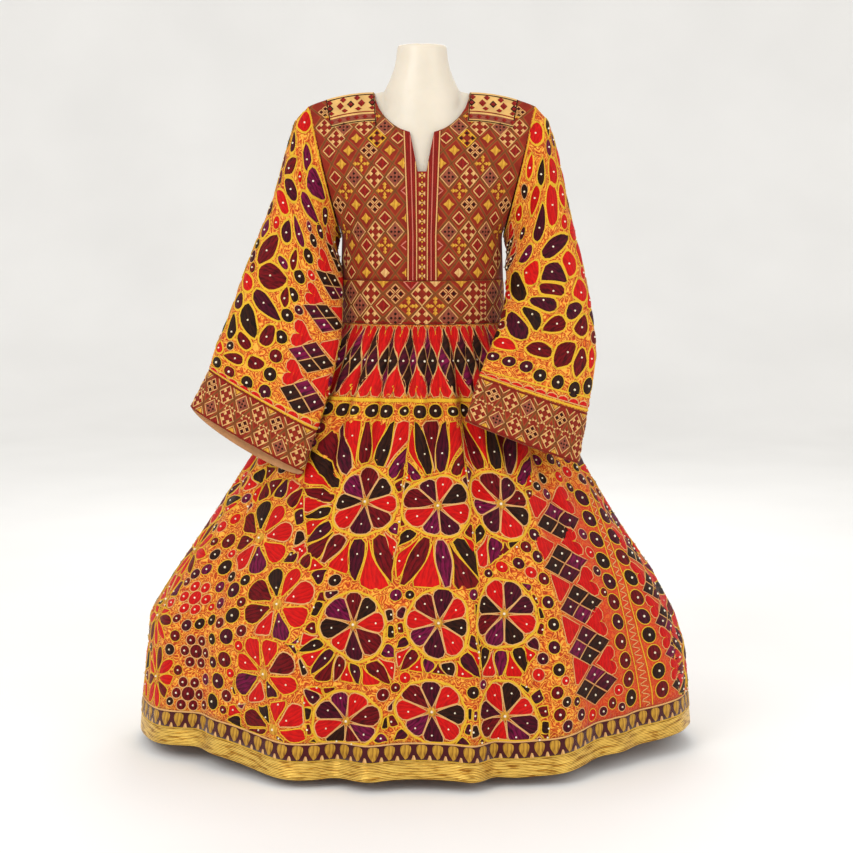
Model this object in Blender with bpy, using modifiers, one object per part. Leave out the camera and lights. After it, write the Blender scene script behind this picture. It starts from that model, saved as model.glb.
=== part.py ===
"""Afghan bridal dress on a limbless dress form: gathered flared skirt, lattice bodice and bell sleeves.

Metres, +Z up. The front faces -Y, +X is on the viewer's right, and the origin is the centre of the
stand's underside. Every cloth piece is a thin wall: an open surface placed by a formula, then
thickened outwards. Neighbouring pieces read the same formulas, so their edges meet at the seams.
"""

import math

import bmesh
import bpy
from mathutils import Vector

# Walls and the gaps between sewn pieces
WALL = 0.0014
TRIM = 0.0009
SEAM = 0.0003
UNDERARM_ROOM = 0.0045

# Heights of the main seams
WAIST_SEAM = 0.8185
BAND_TOP = 0.900
UNDERARM = 0.983
SHOULDER_TIP = 1.2228
BORDER_TOP = 0.064
RIBBON_TOP = 0.033

# Half widths
WAIST_X = 0.155
BAND_TOP_X = 0.153
UNDERARM_X = 0.150
SHOULDER_TIP_X = 0.211

# Shoulder line: straight over the neck opening, then rounded from the neck point down to the tip
SHOULDER_PEAK = 1.265
SHOULDER_SLOPE = 0.2
NECK_POINT_X = 0.090

# Neckline, as shares of the half width of the bodice
SLIT_FOOT = 0.0447
SLIT_HEAD = 0.1117
PLACKET_EDGE = 0.175
NECK_POINT = 0.414
SHOULDER_BAND_END = 0.841
SLIT_FOOT_HEIGHT = 1.098
NECK_POINT_HEIGHT = 1.247
SCOOP_DEPTH = 0.080
BACK_NECK_DEPTH = 0.020

# Armhole: how far its front and back edges stand off the middle plane, and how far outside it the
# sleeve's top ring lies
ARMHOLE_DEPTH = 0.062
ARMHOLE_ROOM = 0.0009

# How far below the shoulder seam the body reaches its full depth, and how round it gets there
FRONT_ROUNDING = (0.130, 0.75)
BACK_ROUNDING = (0.100, 0.60)

# Rows and columns of the cloth
BODICE_ROWS = 10
ROWS_TOWARDS_TOP = 1.5
STATION_GAP = 0.034
SLEEVE_COLUMNS = 28
FRONT_EDGE = 38
SIDE_EDGE = 142
FRONT_COLUMNS = 48
SIDE_COLUMNS = 22
BACK_COLUMNS = 24
SHOULDER_BAND_ROWS = 3

# Gathers below the waist, in degrees round the skirt. Drift makes their spacing uneven, and the fine
# ones fade out over the last degrees of their reach
WIDE_GATHER = 13.8
WIDE_SHARE = 0.65
FINE_GATHER = 6.9
FINE_SHARE = 0.35
FINE_GATHER_REACH = 46
FINE_GATHER_FADE = 10
GATHER_DRIFT = 1.6
FLAT_AT_SEAM = 6

FRONT = -1
BACK = 1

# Depth of the body in front of and behind the middle plane
# height, front, back
BODY = (
    (1.265, 0.072, 0.085),
    (1.170, 0.090, 0.105),
    (1.100, 0.112, 0.115),
    (1.020, 0.125, 0.110),
    (0.950, 0.122, 0.105),
    (0.900, 0.118, 0.100),
    (0.8185, 0.112, 0.098),
)

# Skirt sections
# height, left, right, front, back, squareness, gather, sway
SKIRT = (
    (0.8182, 0.155, 0.155, 0.112, 0.098, 2.00, 0.0000, 0.00),
    (0.8110, 0.156, 0.156, 0.113, 0.099, 2.00, 0.0014, 0.00),
    (0.7750, 0.183, 0.178, 0.134, 0.122, 2.00, 0.0075, 0.00),
    (0.7200, 0.219, 0.210, 0.160, 0.150, 2.00, 0.0100, 0.00),
    (0.6500, 0.265, 0.250, 0.187, 0.178, 1.95, 0.0085, 0.08),
    (0.5500, 0.331, 0.305, 0.226, 0.212, 1.90, 0.0055, 0.28),
    (0.4400, 0.405, 0.374, 0.265, 0.250, 1.85, 0.0022, 0.52),
    (0.3400, 0.474, 0.444, 0.293, 0.283, 1.80, 0.0000, 0.72),
    (0.2550, 0.528, 0.490, 0.311, 0.303, 1.75, 0.0000, 0.85),
    (0.1900, 0.534, 0.512, 0.318, 0.312, 1.72, 0.0000, 0.90),
    (0.0500, 0.551, 0.526, 0.328, 0.324, 1.70, 0.0000, 1.00),
    (0.0000, 0.555, 0.530, 0.331, 0.327, 1.70, 0.0000, 1.00),
)

# Long folds of the skirt, full at the hem
# degrees from the front, spread, outward
FOLDS = (
    (-166, 8, -0.016),
    (-149, 8, 0.020),
    (-128, 8, -0.015),
    (-106, 8, 0.020),
    (-86, 7, -0.002),
    (-69, 7, 0.006),
    (-56, 6, -0.020),
    (-43, 5, -0.004),
    (-27, 7, 0.022),
    (-17, 3, -0.011),
    (-10, 3, 0.012),
    (-1, 5, -0.009),
    (10, 3, 0.015),
    (15, 3, -0.012),
    (30, 6, 0.016),
    (42, 5, -0.012),
    (56, 7, -0.017),
    (73, 6, 0.006),
    (90, 6, -0.002),
    (109, 8, 0.019),
    (129, 8, -0.016),
    (150, 8, 0.020),
    (172, 7, 0.016),
)

# Height of the hem over the floor
# degrees from the front, height
HEM = (
    (-180, 0.024),
    (-120, 0.027),
    (-80, 0.024),
    (-52, 0.032),
    (-25, 0.017),
    (0, 0.024),
    (20, 0.020),
    (48, 0.034),
    (75, 0.042),
    (95, 0.034),
    (130, 0.024),
    (180, 0.024),
)

# Sleeve sections from the shoulder down: outer edge, inner edge, and half the depth between
# outer x, outer height, outer y, inner x, inner height, inner y, half depth
LEFT_SLEEVE = (
    (0.237, 1.194, -0.005, 0.162, 0.958, -0.008, 0.064),
    (0.254, 1.138, -0.012, 0.163, 0.930, -0.022, 0.062),
    (0.274, 1.063, -0.022, 0.163, 0.893, -0.045, 0.058),
    (0.300, 0.992, -0.035, 0.163, 0.853, -0.068, 0.054),
    (0.330, 0.914, -0.050, 0.163, 0.804, -0.094, 0.048),
    (0.361, 0.825, -0.070, 0.166, 0.744, -0.128, 0.042),
    (0.384, 0.770, -0.085, 0.176, 0.687, -0.153, 0.038),
    (0.393, 0.735, -0.092, 0.194, 0.630, -0.166, 0.036),
)
LEFT_CUFF = (0.428, 0.666, -0.105, 0.217, 0.557, -0.185, 0.034)
LEFT_CUFF_DROP = 0.026
RIGHT_SLEEVE = (
    (0.237, 1.194, -0.005, 0.162, 0.958, -0.008, 0.064),
    (0.252, 1.138, -0.012, 0.165, 0.936, -0.022, 0.062),
    (0.269, 1.057, -0.022, 0.166, 0.910, -0.045, 0.058),
    (0.283, 0.988, -0.035, 0.166, 0.885, -0.070, 0.052),
    (0.300, 0.914, -0.052, 0.162, 0.858, -0.104, 0.045),
    (0.313, 0.840, -0.075, 0.147, 0.821, -0.138, 0.036),
    (0.320, 0.762, -0.105, 0.124, 0.776, -0.172, 0.031),
    (0.302, 0.660, -0.140, 0.105, 0.731, -0.200, 0.029),
)
RIGHT_CUFF = (0.285, 0.569, -0.165, 0.078, 0.656, -0.245, 0.026)
RIGHT_CUFF_DROP = 0.006

# Dress form
FORM_DROP = 0.0006
FORM_STUMP = 0.165
NECK_TOP = 1.335
NECK_SHARE = 60
FULL_TURN = 88
NECK_CLEARANCE = 0.55
CHEST_CLEARANCE = 0.93
CLEARANCE_REACH = 0.065
FORM_COLUMNS = 32
# height, half width, front, back
NECK = (
    (NECK_TOP, 0.0430, 0.0410, 0.0410),
    (1.3330, 0.0475, 0.0455, 0.0455),
    (1.3100, 0.0485, 0.0460, 0.0460),
    (1.2900, 0.0530, 0.0490, 0.0470),
    (1.2720, 0.0600, 0.0520, 0.0480),
    (1.2520, 0.0700, 0.0550, 0.0490),
    (1.2350, 0.0730, 0.0600, 0.0490),
    (1.2200, 0.0740, 0.0650, 0.0470),
    (1.1970, 0.0790, 0.0710, 0.0450),
    (1.1670, 0.0870, 0.0780, 0.0400),
    (1.1300, 0.0950, 0.0800, 0.0300),
    (1.1000, 0.0950, 0.0800, 0.0200),
)
# height, half width, front, back
TORSO = (
    (1.100, 0.160, 0.104, 0.104),
    (1.060, 0.156, 0.111, 0.103),
    (1.020, 0.149, 0.114, 0.100),
    (0.975, 0.139, 0.111, 0.096),
    (0.930, 0.128, 0.106, 0.090),
    (0.870, 0.116, 0.096, 0.081),
    (0.800, 0.134, 0.099, 0.087),
    (0.740, 0.158, 0.105, 0.110),
    (0.680, 0.171, 0.108, 0.121),
    (0.630, 0.168, 0.104, 0.118),
    (0.608, 0.158, 0.096, 0.108),
    (0.600, 0.140, 0.084, 0.092),
)
UNDER_NECK_POINT = NECK_POINT_HEIGHT - FORM_DROP
SHOULDER_RINGS = (1.250, UNDER_NECK_POINT, 1.244, 1.238, 1.232, 1.222, 1.205, 1.180, 1.150, 1.120)

# Stand
BASE_RADIUS = 0.150
BASE_EDGE = 0.008
BASE_BEVEL = 0.006
BASE_RIM = 0.012
BASE_RISE = (0.070, 0.016)
SOCKET_FOOT = (0.028, 0.022)
SOCKET_RADIUS = 0.024
SOCKET_TOP = 0.052
SOCKET_DEPTH = 0.030
POLE_RADIUS = 0.016
FLANGE_RADIUS = 0.045
FLANGE = 0.009
FLANGE_FILLET = 0.006
FORM_FOOT = 0.600
TURNED_STEPS = 32

# Colours: red, green, blue, roughness, metallic
CLOTHS = {
    "lattice_cloth": (0.30, 0.045, 0.020, 0.75, 0.0),
    "pale_band": (0.72, 0.48, 0.22, 0.70, 0.0),
    "placket_cloth": (0.38, 0.030, 0.022, 0.72, 0.0),
    "flower_cloth": (0.62, 0.20, 0.030, 0.68, 0.0),
    "maroon_border": (0.13, 0.008, 0.020, 0.70, 0.0),
    "gold_ribbon": (0.72, 0.43, 0.07, 0.35, 0.8),
    "form_plastic": (0.86, 0.82, 0.70, 0.35, 0.0),
    "stand_steel": (0.60, 0.60, 0.60, 0.30, 1.0),
}


def read_row(table, height):
    """The sizes at a height, read straight between the rows of a table that starts with heights."""
    if height >= table[0][0]:
        return table[0][1:]
    for upper, lower in zip(table, table[1:]):
        if height >= lower[0]:
            share = (height - lower[0]) / (upper[0] - lower[0])
            return [low + (high - low) * share for high, low in zip(upper[1:], lower[1:])]
    return table[-1][1:]


def smooth(share):
    """A share from 0 to 1, eased at both ends."""
    share = min(1.0, max(0.0, share))
    return share * share * (3 - 2 * share)


def seam_x(height):
    """Half the width between the side seams and, above the underarm, between the armhole seams."""
    if height >= UNDERARM:
        share = (height - UNDERARM) / (SHOULDER_TIP - UNDERARM)
        return UNDERARM_X + (SHOULDER_TIP_X - UNDERARM_X) * share
    if height >= BAND_TOP:
        share = (height - BAND_TOP) / (UNDERARM - BAND_TOP)
        return BAND_TOP_X + (UNDERARM_X - BAND_TOP_X) * share
    share = (height - WAIST_SEAM) / (BAND_TOP - WAIST_SEAM)
    return WAIST_X + (BAND_TOP_X - WAIST_X) * share


def shoulder_height(x):
    """Height of the shoulder line over a point that lies x from the centre."""
    if abs(x) < NECK_POINT_X:
        return SHOULDER_PEAK - SHOULDER_SLOPE * abs(x)
    share = (abs(x) - NECK_POINT_X) / (SHOULDER_TIP_X - NECK_POINT_X)
    return NECK_POINT_HEIGHT - (NECK_POINT_HEIGHT - SHOULDER_TIP) * share * share


def shoulder_reach(height):
    """How far from the centre the shoulder line has this height."""
    if height > NECK_POINT_HEIGHT:
        return (SHOULDER_PEAK - height) / SHOULDER_SLOPE
    share = math.sqrt((NECK_POINT_HEIGHT - height) / (NECK_POINT_HEIGHT - SHOULDER_TIP))
    return NECK_POINT_X + (SHOULDER_TIP_X - NECK_POINT_X) * share


def shoulder_rounding(below, side):
    """How much of its full depth the body has at this distance below the shoulder seam."""
    reach, power = FRONT_ROUNDING if side == FRONT else BACK_ROUNDING
    return math.sin(min(1.0, max(0.0, below) / reach) * math.pi / 2) ** power


def armhole_depth(height):
    """How far the armhole edge stands off the middle plane at this height."""
    middle = (UNDERARM + SHOULDER_TIP) / 2
    offset = (height - middle) / ((SHOULDER_TIP - UNDERARM) / 2)
    return ARMHOLE_DEPTH * math.sqrt(max(0.0, 1 - offset * offset))


def body_point(share, height, side):
    """A point on the inner face of the bodice or waistband: share is -1 to 1 between the seams."""
    x = share * seam_x(height)
    front, back = read_row(BODY, height)
    full = front if side == FRONT else back
    edge = armhole_depth(height) if height > UNDERARM else 0.0
    power = 0.5 + 0.5 * edge / ARMHOLE_DEPTH
    depth = edge + (full - edge) * max(0.0, 1 - share * share) ** power
    depth *= shoulder_rounding(shoulder_height(x) - height, side)
    return Vector((x, side * (depth + SEAM / 2), height))


def shoulder_seam(share):
    """Height at which the line of this share of the half width meets the shoulder seam."""
    height = SHOULDER_TIP
    for _ in range(12):
        height = shoulder_height(share * seam_x(height))
    return height


def front_top(share):
    """Top edge of the bodice front: slit, scoop and shoulder seam."""
    share = abs(share)
    if share <= SLIT_FOOT:
        return SLIT_FOOT_HEIGHT
    if share >= NECK_POINT:
        return shoulder_seam(share)
    scoop = NECK_POINT_HEIGHT - SCOOP_DEPTH * math.sqrt(1 - (max(share, SLIT_HEAD) / NECK_POINT) ** 2)
    if share >= SLIT_HEAD:
        return scoop
    return SLIT_FOOT_HEIGHT + (scoop - SLIT_FOOT_HEIGHT) * (share - SLIT_FOOT) / (SLIT_HEAD - SLIT_FOOT)


def back_top(share):
    """Top edge of the bodice back: shallow neck and shoulder seam."""
    share = abs(share)
    if share >= NECK_POINT:
        return shoulder_seam(share)
    return NECK_POINT_HEIGHT - BACK_NECK_DEPTH * math.sqrt(1 - (share / NECK_POINT) ** 2)


def bodice_row(row):
    """Share of the way up the bodice, closer together towards the shoulder."""
    return 1 - (1 - row / BODICE_ROWS) ** ROWS_TOWARDS_TOP


def stations(count, named=()):
    """Shares across a panel, evenly spaced round its arc, with the named shares set among them."""
    arc = [math.sin(math.pi / 2 * step / count) for step in range(1, count + 1)]
    half = sorted([q for q in arc if all(abs(q - other) > STATION_GAP for other in named)] + list(named))
    return [-q for q in reversed(half)] + [0.0] + half


# The neckline's own corners, and three more on its curve
NECKLINE_STATIONS = (SLIT_FOOT, SLIT_HEAD, PLACKET_EDGE, 0.230, 0.330, 0.385, NECK_POINT)
FRONT_STATIONS = stations(11, (*NECKLINE_STATIONS, SHOULDER_BAND_END))
BACK_STATIONS = stations(9, (NECK_POINT,))


def wrap_degrees(angle):
    """An angle brought between -180 and 180 degrees."""
    return (angle + 180) % 360 - 180


def gather_wave(degrees):
    """Gathers round the waist, from -1 to 1: wide ones all round and fine ones between them in front."""
    degrees = wrap_degrees(degrees)
    drift = GATHER_DRIFT * math.sin(math.radians(3 * degrees))
    wide = math.cos(2 * math.pi * (degrees + drift) / WIDE_GATHER)
    fine = math.cos(2 * math.pi * (degrees - drift) / FINE_GATHER)
    near = smooth((FINE_GATHER_REACH - abs(degrees)) / FINE_GATHER_FADE)
    from_seam = min(abs(abs(degrees) - FRONT_EDGE), abs(abs(degrees) - SIDE_EDGE))
    return (WIDE_SHARE * wide + FINE_SHARE * fine * near) * smooth(from_seam / FLAT_AT_SEAM)


def fold_height(degrees):
    """How far the long folds push the hem outwards at this angle."""
    return sum(out * math.exp(-((wrap_degrees(degrees - at) / spread) ** 2)) for at, spread, out in FOLDS)


def hem_height(degrees):
    """Height of the hem over the floor."""
    degrees = wrap_degrees(degrees)
    for (low, low_height), (high, high_height) in zip(HEM, HEM[1:]):
        if degrees <= high:
            return low_height + (high_height - low_height) * smooth((degrees - low) / (high - low))
    return HEM[-1][1]


def skirt_point(degrees, height):
    """A point on the inner face of the skirt, at an angle from the front and a height."""
    left, right, front, back, squareness, gather, sway = read_row(SKIRT, height)
    side, ahead = math.sin(math.radians(degrees)), math.cos(math.radians(degrees))
    across = right if side > 0 else left
    deep = front if ahead > 0 else back
    reach = (abs(side) ** squareness + abs(ahead) ** squareness) ** (-1 / squareness)
    outward = Vector((side * deep, -ahead * across, 0)).normalized()
    push = gather * gather_wave(degrees) + sway * fold_height(degrees)
    return Vector((across * reach * side, -deep * reach * ahead, height)) + outward * push


def armhole_point(turn, side_sign):
    """A point on the sleeve's top ring, which lies just outside the armhole edge of the bodice."""
    rise, ahead = math.cos(turn), math.sin(turn)
    height = (UNDERARM + SHOULDER_TIP) / 2 + (SHOULDER_TIP - UNDERARM) / 2 * rise
    point = body_point(1.0, height, FRONT if ahead > 0 else BACK)
    room = ARMHOLE_ROOM + UNDERARM_ROOM * smooth((1 - rise) / 2)
    lean = math.atan2(SHOULDER_TIP_X - UNDERARM_X, SHOULDER_TIP - UNDERARM)
    point += Vector((math.cos(lean), 0, -math.sin(lean))) * room
    return Vector((side_sign * point.x, point.y, point.z))


def sleeve_point(turn, section, side_sign):
    """A point on the inner face of a sleeve section: turn 0 is the outer edge and 90 degrees the front."""
    outer_x, outer_z, outer_y, inner_x, inner_z, inner_y, half_depth = section
    outer = Vector((side_sign * outer_x, outer_y, outer_z))
    inner = Vector((side_sign * inner_x, inner_y, inner_z))
    reach = (outer - inner) / 2
    forward = Vector((0, -1, 0))
    forward = (forward - reach * (forward.dot(reach) / reach.length_squared)).normalized()
    return (outer + inner) / 2 + reach * math.cos(turn) + forward * (half_depth * math.sin(turn))


def material(name):
    """A plain material with the piece's own colour, roughness and metallic value."""
    red, green, blue, roughness, metallic = CLOTHS[name]
    made = bpy.data.materials.new(name)
    made.use_nodes = True
    shader = made.node_tree.nodes["Principled BSDF"]
    shader.inputs["Base Color"].default_value = (red, green, blue, 1)
    shader.inputs["Roughness"].default_value = roughness
    shader.inputs["Metallic"].default_value = metallic
    made.diffuse_color = (red, green, blue, 1)
    return made


def add_object(name, shape, finish, home):
    """Puts a finished bmesh into the collection as a named object with its own material."""
    mesh = bpy.data.meshes.new(name)
    shape.to_mesh(mesh)
    shape.free()
    mesh.materials.append(material(finish))
    made = bpy.data.objects.new(name, mesh)
    home.objects.link(made)
    return made


def placed_grid(columns, rows, place, joined=False):
    """A grid whose points place() puts by column and row. A joined one closes into a tube."""
    shape = bmesh.new()
    bmesh.ops.create_grid(shape, x_segments=columns, y_segments=rows, size=1.0)
    for point in shape.verts:
        column = round((point.co.x + 1) / 2 * columns)
        row = round((point.co.y + 1) / 2 * rows)
        point.co = place(column % columns if joined else column, row)
    if joined:
        bmesh.ops.remove_doubles(shape, verts=shape.verts, dist=1e-6)
    return shape


def add_cloth(name, columns, rows, place, finish, home, joined=False, thickness=WALL):
    """A cloth piece: a placed grid, thickened outwards."""
    piece = add_object(name, placed_grid(columns, rows, place, joined), finish, home)
    wall = piece.modifiers.new("wall", "SOLIDIFY")
    wall.thickness = thickness
    wall.offset = 1
    return piece


def add_bodice(home):
    """Bodice front and back, and the placket and shoulder bands that lie on the front."""

    def front(column, row):
        share = FRONT_STATIONS[column]
        rise = bodice_row(row)
        return body_point(share, BAND_TOP + SEAM / 2 + rise * (front_top(share) - BAND_TOP), FRONT)

    def back(column, row):
        share = BACK_STATIONS[len(BACK_STATIONS) - 1 - column]
        rise = bodice_row(row)
        return body_point(share, BAND_TOP + SEAM / 2 + rise * (back_top(share) - BAND_TOP), BACK)

    add_cloth("bodice_front", len(FRONT_STATIONS) - 1, BODICE_ROWS, front, "lattice_cloth", home)
    add_cloth("bodice_back", len(BACK_STATIONS) - 1, BODICE_ROWS, back, "lattice_cloth", home)
    add_patch("placket", -PLACKET_EDGE, PLACKET_EDGE, 0, front, "placket_cloth", home)
    first_row = BODICE_ROWS - SHOULDER_BAND_ROWS
    add_patch("shoulder_band_right", NECK_POINT, SHOULDER_BAND_END, first_row, front, "pale_band", home)
    add_patch("shoulder_band_left", -SHOULDER_BAND_END, -NECK_POINT, first_row, front, "pale_band", home)


def add_patch(name, start, end, first_row, place, finish, home):
    """A piece that lies on the bodice front, made from the front's own points and moved out."""
    first, last = FRONT_STATIONS.index(start), FRONT_STATIONS.index(end)
    shape = placed_grid(len(FRONT_STATIONS) - 1, BODICE_ROWS, place)
    shape.normal_update()
    shape.verts.ensure_lookup_table()
    lifted = {}
    for column in range(first, last + 1):
        for row in range(first_row, BODICE_ROWS + 1):
            home_point = shape.verts[row * len(FRONT_STATIONS) + column]
            lifted[column - first, row - first_row] = home_point.co + home_point.normal * (WALL + SEAM)
    shape.free()

    def on_front(column, row):
        return lifted[column, row]

    add_cloth(name, last - first, BODICE_ROWS - first_row, on_front, finish, home, thickness=TRIM)


def add_waist_bands(home):
    """The lattice band between bodice and skirt, in two halves."""
    for name, side, count in (("waist_band_front", FRONT, 11), ("waist_band_back", BACK, 9)):
        across = stations(count)

        def place(column, row, side=side, across=across):
            share = across[column if side == FRONT else len(across) - 1 - column]
            low, high = WAIST_SEAM + 2 * SEAM, BAND_TOP - SEAM / 2
            return body_point(share, low + (high - low) * row / 2, side)

        add_cloth(name, len(across) - 1, 2, place, "lattice_cloth", home)


def add_sleeve(name, side_sign, sections, cuff, drop, home):
    """A bell sleeve from its armhole ring through its sections, and the cuff that carries it on.

    Sleeve and cuff each have a front and a back, joined along the outer and the inner edge. The back of
    the cuff hangs lower than its front by the drop, so that its lining shows.
    """
    rows = len(sections)
    columns = SLEEVE_COLUMNS // 2
    for facing, first in (("front", 0.0), ("back", math.pi)):

        def turn_of(column, first=first):
            # The right one runs from the inner edge and the left one from the outer, so both face outwards
            step = column if side_sign < 0 else columns - column
            return first + math.pi * step / columns

        def inside_seam(column, place, turn_of=turn_of):
            # The points on the half's two edges are drawn in by half of the seam
            point = place(turn_of(column))
            if column in (0, columns):
                inward = place(turn_of(1 if column == 0 else columns - 1)) - point
                point += inward.normalized() * SEAM / 2
            return point

        def sleeve(column, row, inside_seam=inside_seam):
            if row == rows:
                return inside_seam(column, lambda turn: armhole_point(turn, side_sign))
            section = sections[rows - 1 - row]
            return inside_seam(column, lambda turn: sleeve_point(turn, section, side_sign))

        def cuff_place(column, row, inside_seam=inside_seam):
            def fall(turn):
                start = sleeve_point(turn, sections[-1], side_sign)
                end = sleeve_point(turn, cuff, side_sign)
                end += (end - start).normalized() * drop * max(0.0, -math.sin(turn))
                gap = 2 * SEAM / (end - start).length
                return end + (start - end) * (1 - gap) * row / 2

            return inside_seam(column, fall)

        add_cloth(f"sleeve_{name}_{facing}", columns, rows, sleeve, "flower_cloth", home)
        add_cloth(f"cuff_{name}_{facing}", columns, 2, cuff_place, "lattice_cloth", home)


def skirt_angles():
    """Angles of the skirt's columns, from the left front seam once round, and the panels' ends."""
    runs = (
        ("skirt_front", -FRONT_EDGE, FRONT_EDGE, FRONT_COLUMNS),
        ("skirt_side_right", FRONT_EDGE, SIDE_EDGE, SIDE_COLUMNS),
        ("skirt_back", SIDE_EDGE, 360 - SIDE_EDGE, BACK_COLUMNS),
        ("skirt_side_left", 360 - SIDE_EDGE, 360 - FRONT_EDGE, SIDE_COLUMNS),
    )
    return {
        name: [start + (end - start) * step / count for step in range(count + 1)]
        for name, start, end, count in runs
    }


def add_skirt(home):
    """Four gathered panels, then the maroon border and the gold ribbon round the hem."""
    rows = [row[0] for row in SKIRT[:-2]]
    panels = skirt_angles()
    for name, angles in panels.items():

        def panel(column, row, angles=angles):
            degrees = angles[column]
            low = hem_height(degrees) + BORDER_TOP + SEAM
            height = low if row == 0 else rows[len(rows) - row]
            point = skirt_point(degrees, height)
            if column in (0, len(angles) - 1):
                inward = skirt_point(angles[1 if column == 0 else -2], height) - point
                point += inward.normalized() * SEAM / 2
            return point

        add_cloth(name, len(angles) - 1, len(rows), panel, "flower_cloth", home)

    around = [angle for angles in panels.values() for angle in angles[:-1]]

    def ring(bottom, top):
        def place(column, row):
            degrees = around[column]
            return skirt_point(degrees, hem_height(degrees) + (top if row else bottom))

        return place

    border, ribbon = ring(RIBBON_TOP + SEAM, BORDER_TOP), ring(0.0, RIBBON_TOP)
    add_cloth("hem_border", len(around), 1, border, "maroon_border", home, joined=True)
    add_cloth("hem_ribbon", len(around), 1, ribbon, "gold_ribbon", home, joined=True)


def form_point(degrees, height):
    """A point on the dress form at an angle from the front and a height.

    The first two thirds of each quarter turn go round the neck, and the rest run out to the shoulder.
    """
    facing = FRONT if math.cos(math.radians(degrees)) > 0 else BACK
    hand = 1 if math.sin(math.radians(degrees)) >= 0 else -1
    quarter = math.degrees(math.asin(min(1.0, abs(math.sin(math.radians(degrees))))))
    neck_x, neck_front, neck_back = read_row(NECK, height)
    neck_deep = neck_front if facing == FRONT else neck_back
    lower = smooth((NECK_TOP - height) / (NECK_TOP - SHOULDER_RINGS[0]))
    knee = NECK_SHARE + (FULL_TURN - NECK_SHARE) * lower
    turn = quarter * knee / NECK_SHARE
    half = neck_x if height > shoulder_height(neck_x) else min(FORM_STUMP, shoulder_reach(height + FORM_DROP))
    beyond = max(0.0, quarter - NECK_SHARE) / (90 - NECK_SHARE)
    near = math.sin(math.radians(min(turn, knee))) * neck_x
    x = near + (max(half, neck_x) - near) * beyond
    below = shoulder_height(x) - FORM_DROP - height
    front, back = read_row(BODY, height)
    clear = NECK_CLEARANCE + (CHEST_CLEARANCE - NECK_CLEARANCE) * smooth(below / CLEARANCE_REACH)
    torso = clear * (front if facing == FRONT else back) * shoulder_rounding(below, facing)
    torso *= math.sqrt(max(0.0, 1 - (x / max(half, neck_x)) ** 2))
    neck = neck_deep * math.sqrt(max(0.0, 1 - (x / neck_x) ** 2))
    return Vector((hand * x, facing * max(torso, neck), height))


def add_form(home):
    """The smooth limbless form with its neck, closed at the top and underneath."""
    upper = [(row[0], None) for row in NECK if row[0] > SHOULDER_RINGS[0]]
    upper += [(height, None) for height in SHOULDER_RINGS]
    rings = upper + [(row[0], row) for row in TORSO]

    def place(column, row):
        height, sizes = rings[len(rings) - 1 - row]
        degrees = 360 * column / FORM_COLUMNS
        if sizes is None:
            return form_point(degrees, height)
        side, ahead = math.sin(math.radians(degrees)), math.cos(math.radians(degrees))
        return Vector((sizes[1] * side, -(sizes[2] if ahead > 0 else sizes[3]) * ahead, height))

    shape = placed_grid(FORM_COLUMNS, len(rings) - 1, place, joined=True)
    bmesh.ops.holes_fill(shape, edges=[edge for edge in shape.edges if edge.is_boundary])
    bmesh.ops.recalc_face_normals(shape, faces=shape.faces)
    torso = add_object("form_torso", shape, "form_plastic", home)
    torso.data.shade_smooth()


def add_turned(name, profile, home):
    """A turned piece from its profile of radius and height, listed from the top centre down."""
    shape = bmesh.new()
    points = [shape.verts.new((radius, 0, height)) for radius, height in profile]
    for upper, lower in zip(points, points[1:]):
        shape.edges.new((upper, lower))
    piece = add_object(name, shape, "stand_steel", home)
    turn = piece.modifiers.new("turn", "SCREW")
    turn.steps = turn.render_steps = TURNED_STEPS
    turn.use_merge_vertices = True
    turn.merge_threshold = 0.00005


def add_stand(home):
    """A round weighted base with a socket, and the pole that carries the form."""
    floor, bore = SOCKET_TOP - SOCKET_DEPTH, POLE_RADIUS + SEAM
    base = [(0, floor), (bore, floor), (bore, SOCKET_TOP), (SOCKET_RADIUS, SOCKET_TOP), SOCKET_FOOT, BASE_RISE]
    base += [(BASE_RADIUS - BASE_BEVEL, BASE_RIM), (BASE_RADIUS, BASE_EDGE), (BASE_RADIUS, 0.0), (0, 0.0)]
    add_turned("stand_base", base, home)
    top = FORM_FOOT - SEAM
    neck = top - FLANGE
    pole = [(0, top), (FLANGE_RADIUS, top), (FLANGE_RADIUS, neck), (POLE_RADIUS, neck - FLANGE_FILLET)]
    pole += [(POLE_RADIUS, floor + SEAM), (0, floor + SEAM)]
    add_turned("stand_pole", pole, home)


def main():
    for thing in list(bpy.data.objects):
        bpy.data.objects.remove(thing)
    home = bpy.data.collections.new("afghan_bridal_dress")
    bpy.context.scene.collection.children.link(home)
    add_form(home)
    add_stand(home)
    add_bodice(home)
    add_waist_bands(home)
    add_sleeve("left", -1, LEFT_SLEEVE, LEFT_CUFF, LEFT_CUFF_DROP, home)
    add_sleeve("right", 1, RIGHT_SLEEVE, RIGHT_CUFF, RIGHT_CUFF_DROP, home)
    add_skirt(home)


main()
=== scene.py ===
"""Afghan bridal dress on a limbless dress form: the cloth, its embroidery, the form and the studio.

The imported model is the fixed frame. Each cloth wall here follows the same formulas as the CAD solid it
stands for, at a finer step. Embroidery is laid out flat in metres on a cloth and then draped over it.
"""

import logging
import math
from collections.abc import Callable, Iterable, Sequence
from dataclasses import dataclass, field
from enum import Enum
from functools import cache

import bmesh
import bpy
import numpy as np
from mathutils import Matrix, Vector
from mathutils.kdtree import KDTree


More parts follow.
